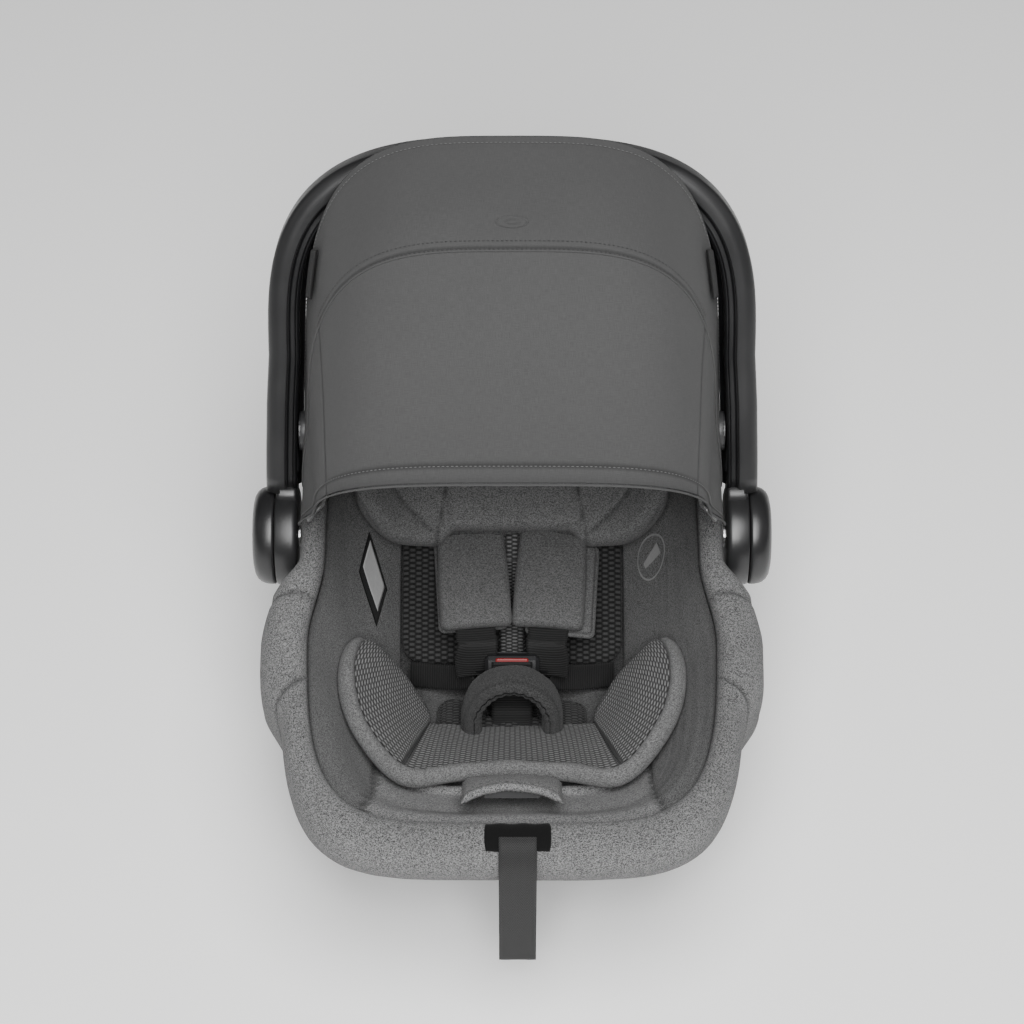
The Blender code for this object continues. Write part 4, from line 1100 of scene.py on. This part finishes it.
HEADREST_OUT = 0.0262
HEAD_LOW, HEAD_HIGH, HEAD_ROUND = 0.1305, 0.262, 0.009
HEAD_FRONT = ((0.0, 0.03), (0.02, 0.03), (0.04, 0.0295), (0.056, 0.0285), (0.064, 0.031),
              (0.072, 0.036), (0.08, 0.044), (0.0865, 0.053), (0.0925, 0.061), (0.0985, 0.066),
              (0.103, 0.0685))
HEAD_BACK = ((0.0, 0.0035), (0.02, 0.0035), (0.04, 0.0035), (0.058, 0.004), (0.072, 0.0068),
             (0.083, 0.012), (0.0925, 0.0215), (0.1, 0.033), (0.106, 0.047), (0.1085, 0.058),
             (0.107, 0.066))


def side_seam(share):
    """How far out the headrest's outer seam runs, at a share of its height."""
    return min(0.058 + 0.08 * share ** 0.85, 0.103)


def make_headrest():
    right = [(*front, *back) for front, back in zip(HEAD_FRONT, HEAD_BACK)]
    left = [(-fx, fz, -bx, bz) for fx, fz, bx, bz in reversed(right[1:])]
    table = spline(left + right, 97)
    columns = len(table)
    rounding = np.linspace(86, 0, 8)
    rows = ([(-1, a) for a in rounding] + [(0, s) for s in np.linspace(0.03, 0.97, 40)]
            + [(1, a) for a in rounding[::-1]])

    def at(row, column):
        end, value = row
        in_front = column < columns
        fx, fz, bx, bz = table[column if in_front else 2 * columns - 1 - column]
        low = HEAD_LOW - 0.0135 * smooth_step(abs(fx), 0.044, 0.058)
        low += 0.034 * (max((abs(fx) + abs(bx)) / 2 - 0.078, 0.0) / 0.027) ** 2.2
        high = HEAD_HIGH - 0.01 * smooth_step(abs(fx), 0.05, 0.1)
        shrink = 1.0
        share = value
        b = mix(low + HEAD_ROUND, high - HEAD_ROUND, value)
        if end:
            shrink = math.cos(math.radians(value))
            share = max(end, 0.0)
            b = (high if end > 0 else low) - end * HEAD_ROUND * (1 - math.sin(math.radians(value)))
        wide = 1.1 + 0.13 * smooth_step(abs(fx), 0.05, 0.1)
        mid_x, mid_z = (fx + bx) / 2, (fz + bz) / 2
        x, z = (fx, fz) if in_front else (bx, bz)
        seam = 0.0
        if in_front:
            seam = ridge(abs(fx), 0.0575 - 0.02 * share, 0.0012)
            seam = min(seam + ridge(abs(fx), side_seam(share), 0.0013), 1.0)
        puff = 0.0022 * math.sin(math.pi * share) * in_front * (1 - seam)
        lump = crumple((x, b, 0 if in_front else 1), 0.035, 0.0012, 3.0)
        x, z = mid_x + (x - mid_x) * shrink, mid_z + (z - mid_z) * shrink
        z += puff + (lump - 0.0022 * seam) * shrink
        return BACK(x * wide, b, HEADREST_OUT + z), seam * 0.9
    grid, creases = marked(rows, range(2 * columns), at)

    # Painted shade: the outer wings and the back take the darker heather.
    def darker(row, column):
        share = min(max((row - 8) / 39, 0.0), 1.0)
        return int(column >= columns or abs(table[column][0]) > side_seam(share))
    pad = closed("headrest_padding", grid, [HEAD_CLOTH, HEAD_SHADED_SIDE_CLOTH], "headrest", "inner_fabric",
                 ("headrest_pad",), creases=creases, pick=darker)


SLOT_PLACE, TONGUE_PLACE = (0.165, 0.0155), (0.0283, 0.0706)
PAD_SHARE, STRAPS_APART = 0.576, 0.0335


def shoulder_frame(sign):
    """The frame along a shoulder strap: y up the strap, z out from it, origin at its pad's middle."""
    reach, rise = SLOT_PLACE[0] - TONGUE_PLACE[0], TONGUE_PLACE[1] - SLOT_PLACE[1]
    tilt, turn = -math.atan2(rise, reach), -sign * math.radians(4)

    def at(x, y, z):
        a, b = y * math.cos(tilt) - z * math.sin(tilt), y * math.sin(tilt) + z * math.cos(tilt)
        c, d = x * math.cos(turn) - a * math.sin(turn), x * math.sin(turn) + a * math.cos(turn)
        return BACK(sign * STRAPS_APART + c, SLOT_PLACE[0] - PAD_SHARE * reach + d,
                    SLOT_PLACE[1] + PAD_SHARE * rise + b)
    return at, math.hypot(reach, rise)


def make_shoulders():
    for side, sign in SIDES:
        at, length = shoulder_frame(sign)

        def face_at(x, y, z, at=at, sign=sign):
            narrow = 1 - 0.05 * smooth_step(y, -0.01, 0.046)
            return at(x * narrow - sign * 0.0005, y, z + 0.0066)

        def back_at(x, y, z, at=at, sign=sign):
            shift = (0.0105, -0.0035) if sign > 0 else (-0.0022, 0.001)
            return at(x + shift[0], y + shift[1], z - 0.005)

        def bend(x, y):
            return -0.0022 * (x / 0.03) ** 2 - 0.0012 * (y / 0.047) ** 2
        cushion(f"shoulder_pad_face_{side}", face_at, (0.0306, 0.048), 0.0125, PAD_CLOTH,
                (f"shoulder_pad_{side}",), corner=0.006, crown=0.0026, edge=0.0045, bend=bend,
                seed=sign)
        cushion(f"shoulder_pad_back_{side}", back_at, (0.03, 0.046), 0.008, PAD_CLOTH,
                corner=0.006, crown=0.0004, seam=0.003, bend=bend, rings=12, seed=sign + 5.0)
        low = -length * (1 - PAD_SHARE)
        path = [at(0, length * PAD_SHARE, 0), at(0, 0.04, 0), at(0, -0.02, 0),
                at(0.0006 * sign, -0.052, 0.0002), at(-0.0003 * sign, low, 0),
                (sign * 0.0315, -0.083, -0.069), (sign * 0.03, -0.087, -0.082)]
        ribbon(f"shoulder_webbing_{side}", path, 0.034, (f"shoulder_strap_{side}",), curl=0.0012,
               count=90)
        grid = [[BUCKLE(sign * (0.019 + x), 0.0045 + d + 0.1 * abs(x), 0.043 + z)
                 for x, z in plate(-0.013, 0.013, 0.006, 0.003)] for d in (-0.0016, 0.0016)]
        closed(f"tongue_plate_{side}", facing(grid, -sign), TRIM_PLASTIC, "seat", "steel",
               (f"tongue_{side}",))
        lap = [(sign * 0.088, -0.06, -0.113), (sign * 0.064, -0.07, -0.105),
               (sign * 0.046, -0.079, -0.095), (sign * 0.033, -0.086, -0.085)]
        ribbon(f"lap_webbing_{side}", lap, 0.022, (f"lap_strap_{side}",), across=(0, 0.62, 0.78),
               curl=-0.0006)


BUCKLE = tilted((0.0, -0.112, -0.106), math.radians(-35.6))


def make_buckle():
    grid = []
    for z, grow in ((0.0318, 0.92), (0.0326, 1.0), (0.05, 1.0), (0.0516, 0.99), (0.0524, 0.95),
                    (0.0527, 0.86)):
        grid.append([BUCKLE(x * grow, -0.008 + y * grow, z)
                     for x, y in plate(-0.0142, 0.0142, 0.0028, 0.0018)])
    closed("release_button_cap", grid, RED_PLASTIC, "buckle_button", "red_plastic", ("buckle_button",))
    path = [BUCKLE(0, 0, 0.0002), BUCKLE(0, 0, 0.007), BUCKLE(0, 0, 0.0134)]
    ribbon("crotch_webbing", path, 0.034, ("crotch_strap",), count=16)
    path = [BUCKLE(0, -0.0112, z) for z in (0.05, 0.036, 0.022)]
    path += [(0, -0.1205, -0.085), (0, -0.1275, -0.0882), (0, -0.1345, -0.089), (0, -0.141, -0.0888)]
    ribbon("crotch_webbing_front", path, 0.0345, count=40, thickness=0.0012)


ARCH_RADIUS, LEG_DROP = 0.0334, 0.0125


def make_crotch_pad():
    """A padded sleeve bent over the buckle: two short legs joined by half a turn."""
    arch = tilted((0.0, -0.13, -0.085), math.radians(72))
    leg = [LEG_DROP * share for share in np.linspace(1, 0.12, 9)]
    line = [(0.0, down) for down in leg] + [(math.radians(a), 0.0) for a in np.linspace(0, 180, 81)]
    line += [(math.pi, down) for down in reversed(leg)]

    def at(place, turn):
        (a, down), cosine, sine = place, math.cos(turn), math.sin(turn)
        tip = 1 - 0.55 * smooth_step(down, LEG_DROP * 0.75, LEG_DROP)
        r = 0.0086 * abs(cosine) ** 0.7 * (1 if cosine > 0 else -1)
        d = 0.0172 * abs(sine) ** 0.62 * (1 if sine > 0 else -1)
        r -= 0.0026 * smooth_step(d, 0.004, 0.016) * (r > 0)
        seam = ridge(d, 0.0132, 0.0011) * (r < 0.001) + ridge(d, 0.0118, 0.0012) * (r > 0.002) * 0.6
        pucker = 0.0006 * math.sin(a * 26) * smooth_step(d, 0.008, 0.0165) * (r < 0.002)
        radius = ARCH_RADIUS + (r + pucker) * tip + crumple((a * 0.03, d, r), 0.014, 0.001, 6.0)
        depth = 0.0085 + d * (0.85 + 0.15 * tip) + 0.0015 * math.cos(a) ** 2
        return (arch(radius * math.cos(a) * 1.02, 0.008 + radius * math.sin(a) - down, depth),
                min(seam, 1.0) * 0.8)
    grid, creases = marked(line, turns(56), at)
    closed("crotch_pad_cover", grid, PAD_DARK_CLOTH, "seat", "inner_fabric", ("crotch_pad",),
                     creases=creases)


# ---- infant insert ----
INSERT_OUTER = ((0.0, -0.214, -0.056), (0.024, -0.2145, -0.0563), (0.0474, -0.2161, -0.0572),
                (0.064, -0.2195, -0.0583), (0.079, -0.222, -0.0588), (0.093, -0.219, -0.057),
                (0.1065, -0.2085, -0.054), (0.1215, -0.19, -0.049), (0.134, -0.169, -0.043),
                (0.142, -0.144, -0.0375), (0.144, -0.117, -0.035), (0.1405, -0.093, -0.0385),
                (0.1335, -0.079, -0.045))
INSERT_INNER = ((0.0, -0.133, -0.0985), (0.02, -0.133, -0.098), (0.04, -0.1335, -0.0955),
                (0.055, -0.1365, -0.09), (0.065, -0.1395, -0.085), (0.069, -0.139, -0.0845),
                (0.07, -0.129, -0.086), (0.0745, -0.119, -0.083), (0.0815, -0.1105, -0.0765),
                (0.09, -0.101, -0.068), (0.1, -0.092, -0.06), (0.113, -0.0835, -0.053),
                (0.128, -0.077, -0.0475))
FOLD, BINDING_WIDTH, KNIT_ROWS = 5.15, 0.0135, 44


def make_insert():
    """The U-shaped bolster, swept along the line between its inner and outer edges."""
    outer = np.array([(-x, y, z) for x, y, z in reversed(INSERT_OUTER[1:])] + list(INSERT_OUTER))
    inner = np.array([(-x, y, z) for x, y, z in reversed(INSERT_INNER[1:])] + list(INSERT_INNER))
    count = 241
    line = spline(np.concatenate([outer, inner], 1), count)
    places = np.linspace(-(len(INSERT_OUTER) - 1), len(INSERT_OUTER) - 1, count)
    centre = line[:, :3] * 0.5 + line[:, 3:] * 0.5
    grid, flat, creases = [], [], []
    travelled = 0.0
    for i in range(count):
        o, p = line[i, :3], line[i, 3:]
        across = o - p
        span = np.linalg.norm(across)
        across /= span
        along = centre[min(i + 1, count - 1)] - centre[max(i - 1, 0)]
        along -= across * (along @ across)
        along /= np.linalg.norm(along)
        up = np.cross(along, across)
        up = -up if up[2] < 0 else up
        if i:
            travelled += np.linalg.norm(centre[i] - centre[i - 1])
        place = abs(places[i])
        tip = smooth_step(len(INSERT_OUTER) - 1 - place, 0.0, 1.6)
        thick = mix(0.35, 1.0, math.sqrt(tip))
        fold = ridge(place, FOLD, 0.17)
        section = [(-0.0012, -0.003, 0, 0), (-0.0016, 0.001, 0, 0)]
        edge = max(span - BINDING_WIDTH, 0.004)
        for f in np.linspace(0.0, 1.0, KNIT_ROWS):
            crown = 0.003 * math.sin(math.pi * f) * (1 - 0.9 * fold)
            h = 0.0048 + 0.0012 * f + crown
            h -= fold * 0.0085 * math.sin(math.pi * min(f * 0.93 + 0.05, 1.0)) ** 0.7
            h -= 0.0035 * (1 - smooth_step(f * edge, 0.0, 0.006))
            section.append((f * edge, h, 0, 0))
        section += [(edge + share * (span - edge), h, 1, mark) for share, h, mark in
                    ((0.03, 0.0052, 1.0), (0.09, 0.005, 1.0), (0.15, 0.0066, 0.3), (0.3, 0.0082, 0),
                     (0.5, 0.0088, 0), (0.7, 0.008, 0), (0.88, 0.0054, 0), (1.0, 0.0008, 0),
                     (0.97, -0.0035, 0), (0.8, -0.0062, 0), (0.5, -0.0072, 0))]
        section += [(edge * f, -0.0072, 1, 0) for f in (0.9, 0.7, 0.5, 0.3, 0.15)]
        section += [(0.002, -0.007, 1, 0)]
        points, uvs, marks = [], [], []
        for s, h, kind, mark in section:
            point = p + across * s
            lump = (crumple(point, 0.034, 0.0016, 8.0) + crumple(point, 0.013, 0.0006, 2.0)) * (h > 0)
            points.append(point + up * (h + lump) * thick)
            uvs.append((travelled, s - edge))
            # The knit's marks also darken it along the fold: painted shade.
            marks.append(max(mark, fold * 0.9 * (kind == 0)) if h > 0 or kind == 0 else 0.0)
        grid.append(points)
        flat.append(uvs)
        creases.append(marks)
    closed("infant_insert", grid, [KNIT_CLOTH, BINDING_CLOTH], "seat", "rim_fabric",
                     ("insert_bolster",), creases=creases, flat=flat,
                     pick=lambda row, column: int(column >= 2 + KNIT_ROWS))


def make_insert_base():
    def dent(x, y):
        slot = ridge(max(abs(x) - 0.02, 0.0), 0.0, 0.004)
        slot *= ridge(max(abs(y - 0.012) - 0.012, 0.0), 0.0, 0.003)
        # The slot is sunk and also darkened by its mark: painted shade.
        return 0.006 * slot, slot * 0.8

    def at(x, y, z):
        return SEAT(x, -0.07 + y, 0.005 + z)
    cushion("insert_seat_cushion", at, (0.064, 0.033), 0.012, BACK_KNIT, ("insert_base",),
            corner=0.014, crown=0.003, seam=0.004, dent=dent, rings=26, around=200, rough=0.0028)


# ---- foot end ----
FOOT_SLOPE = math.atan2(rim_height(-0.29) - seat_level(-0.215), 0.29 - 0.215)
FLAP_HALF_WIDTH = 0.0402
TAIL_SHIFT = 0.0045  # how far the tail strap and its tag lie to one side
FOOT_PANEL = tilted((0.0, -0.23, seat_level(-0.212) + 0.0205), -FOOT_SLOPE)


def make_flap():
    grid, creases = [], []
    for x in np.linspace(-1, 1, 61):
        bow = max(1 - x * x, 0.0)
        lip = -0.062 + 0.013 * bow
        edge = smooth_step(1 - abs(x), 0.0, 0.1)
        section = [(-0.001, 0.0016), (-0.001, 0.003)]
        section += [(mix(-0.003, lip + 0.004, f), 0.0042 + 0.0014 * math.sin(math.pi * f))
                    for f in np.linspace(0, 1, 22)]
        section += [(lip + 0.0016, 0.004), (lip + 0.0002, 0.0022), (lip - 0.0003, 0.0),
                    (lip + 0.0004, -0.0018), (lip + 0.0024, -0.0026)]
        section += [(mix(lip + 0.006, -0.004, f), -0.0024) for f in np.linspace(0, 1, 9)]
        points, marks = [], []
        for y, h in section:
            share = min(max((y + 0.001) / (lip + 0.001), 0.0), 1.0)
            rise = 0.004 + (0.0035 + 0.005 * share) * bow ** 0.8
            thick = 0.35 + 0.65 * edge
            rough = crumple((x * FLAP_HALF_WIDTH, y, 0), 0.01, 0.0006, 4.0)
            terry = 0.0005 * math.sin(x * 120) * smooth_step(share, 0.9, 0.99)
            seam = (ridge(y, lip + 0.0062, 0.001) + ridge(abs(x), 0.955, 0.014)) * (h > 0)
            seam = min(seam, 1.0)
            points.append(FOOT_PANEL(x * FLAP_HALF_WIDTH, y,
                                     rise + (h + rough + terry) * thick - 0.0007 * seam))
            marks.append(seam * 0.6)
        grid.append(points)
        creases.append(marks)
    closed("harness_adjuster_flap", grid, RIM_CLOTH, "adjuster_flap", "rim_fabric",
                     ("adjuster_flap",), creases=creases)


def make_foot_end(rim):
    tree = mesh_tree(rim)
    crest = rim_height(-0.308) + 0.0105
    grid = []
    for s in np.linspace(0, 1, 14):
        row = []
        for x in np.linspace(-1, 1, 30):
            corner = 0.0012 * (abs(x) ** 8) * (abs(2 * s - 1) ** 4)
            start = (TAIL_SHIFT + x * (0.0262 - corner), mix(-0.2975, -0.318, s), crest + 0.03)
            row.append(laid(tree, start, (0, -0.1, -1), 0.0011 + 0.0004 * math.sin(x * 9)))
        grid.append(row)
    thicken(surface("foot_label", grid, BLACK_LABEL, "seat", "webbing", ("rim_tag",)), 0.0008, 1.0)
    tail = ((-0.314, 0.0006), (-0.3205, -0.0012), (-0.3262, -0.0068), (-0.331, -0.018),
            (-0.3326, -0.04), (-0.333, -0.07), (-0.3326, -0.105), (-0.332, -0.14))
    ribbon("adjuster_tail", [(TAIL_SHIFT, y, crest + rise) for y, rise in tail], 0.03,
           ("adjuster_strap",), material=TAIL_STRAP, thickness=0.0015, count=90, curl=0.0004)


def make_labels(walls):
    """Blank care patch on one inner wall and a plain printed ring on the other."""
    tree = mesh_tree(walls)

    def on_wall(point, sign, lift):
        start = np.array(point) + np.array([-sign * 0.03, 0.0, 0.02])
        return laid(tree, start, (sign, 0.0, -0.66), lift)
    corners = np.array([(-0.1265, 0.028, -0.028), (-0.133, -0.013, -0.034),
                        (-0.119, -0.0425, -0.072), (-0.11, -0.004, -0.067)])

    def patch(u, v):
        return mix(mix(corners[0], corners[1], u), mix(corners[3], corners[2], u), v)
    for name, low, high_u, high_v, lift, material in (
            ("care_label_border", 0.0, 1.0, 1.0, 0.0006, BLACK_LABEL),
            ("care_label_field", 0.09, 0.74, 0.9, 0.001, PALE_LABEL)):
        grid = [[on_wall(patch(u, v), -1, lift) for u in np.linspace(low, high_u, 16)]
                for v in np.linspace(low, high_v, 16)]
        thicken(surface(name, grid, material, "seat", "webbing"), 0.0003, 1.0)
    low, high = np.array([0.133, 0.014, -0.023]), np.array([0.112, 0.006, -0.058])
    middle, long_half = (low + high) / 2, (high - low) / 2
    wide_half = np.array([0.004, -0.02, 0.0])

    def printed(u, v):
        return on_wall(middle + long_half * u + wide_half * v, 1, 0.0006)
    grid = [[printed(math.cos(a) * size, math.sin(a) * size) for a in turns(72)]
            for size in (0.96, 0.88)]
    surface("ring_mark", grid, PALE_PRINT, "seat", "inner_fabric", closed_columns=True)
    grid = [[printed(u * 0.55, v * 0.22 * (1 - 0.4 * u)) for u in np.linspace(-1, 1, 14)]
            for v in np.linspace(-1, 1, 8)]
    surface("ring_mark_bar", grid, PALE_PRINT, "seat", "inner_fabric")


dress_frame()
make_handle()
make_canopy()
rim = make_rim()
walls = make_walls()
make_back_pad()
make_headrest()
make_shoulders()
make_buckle()
make_crotch_pad()
make_insert()
make_insert_base()
make_flap()
make_foot_end(rim)
make_labels(walls)
make_studio()
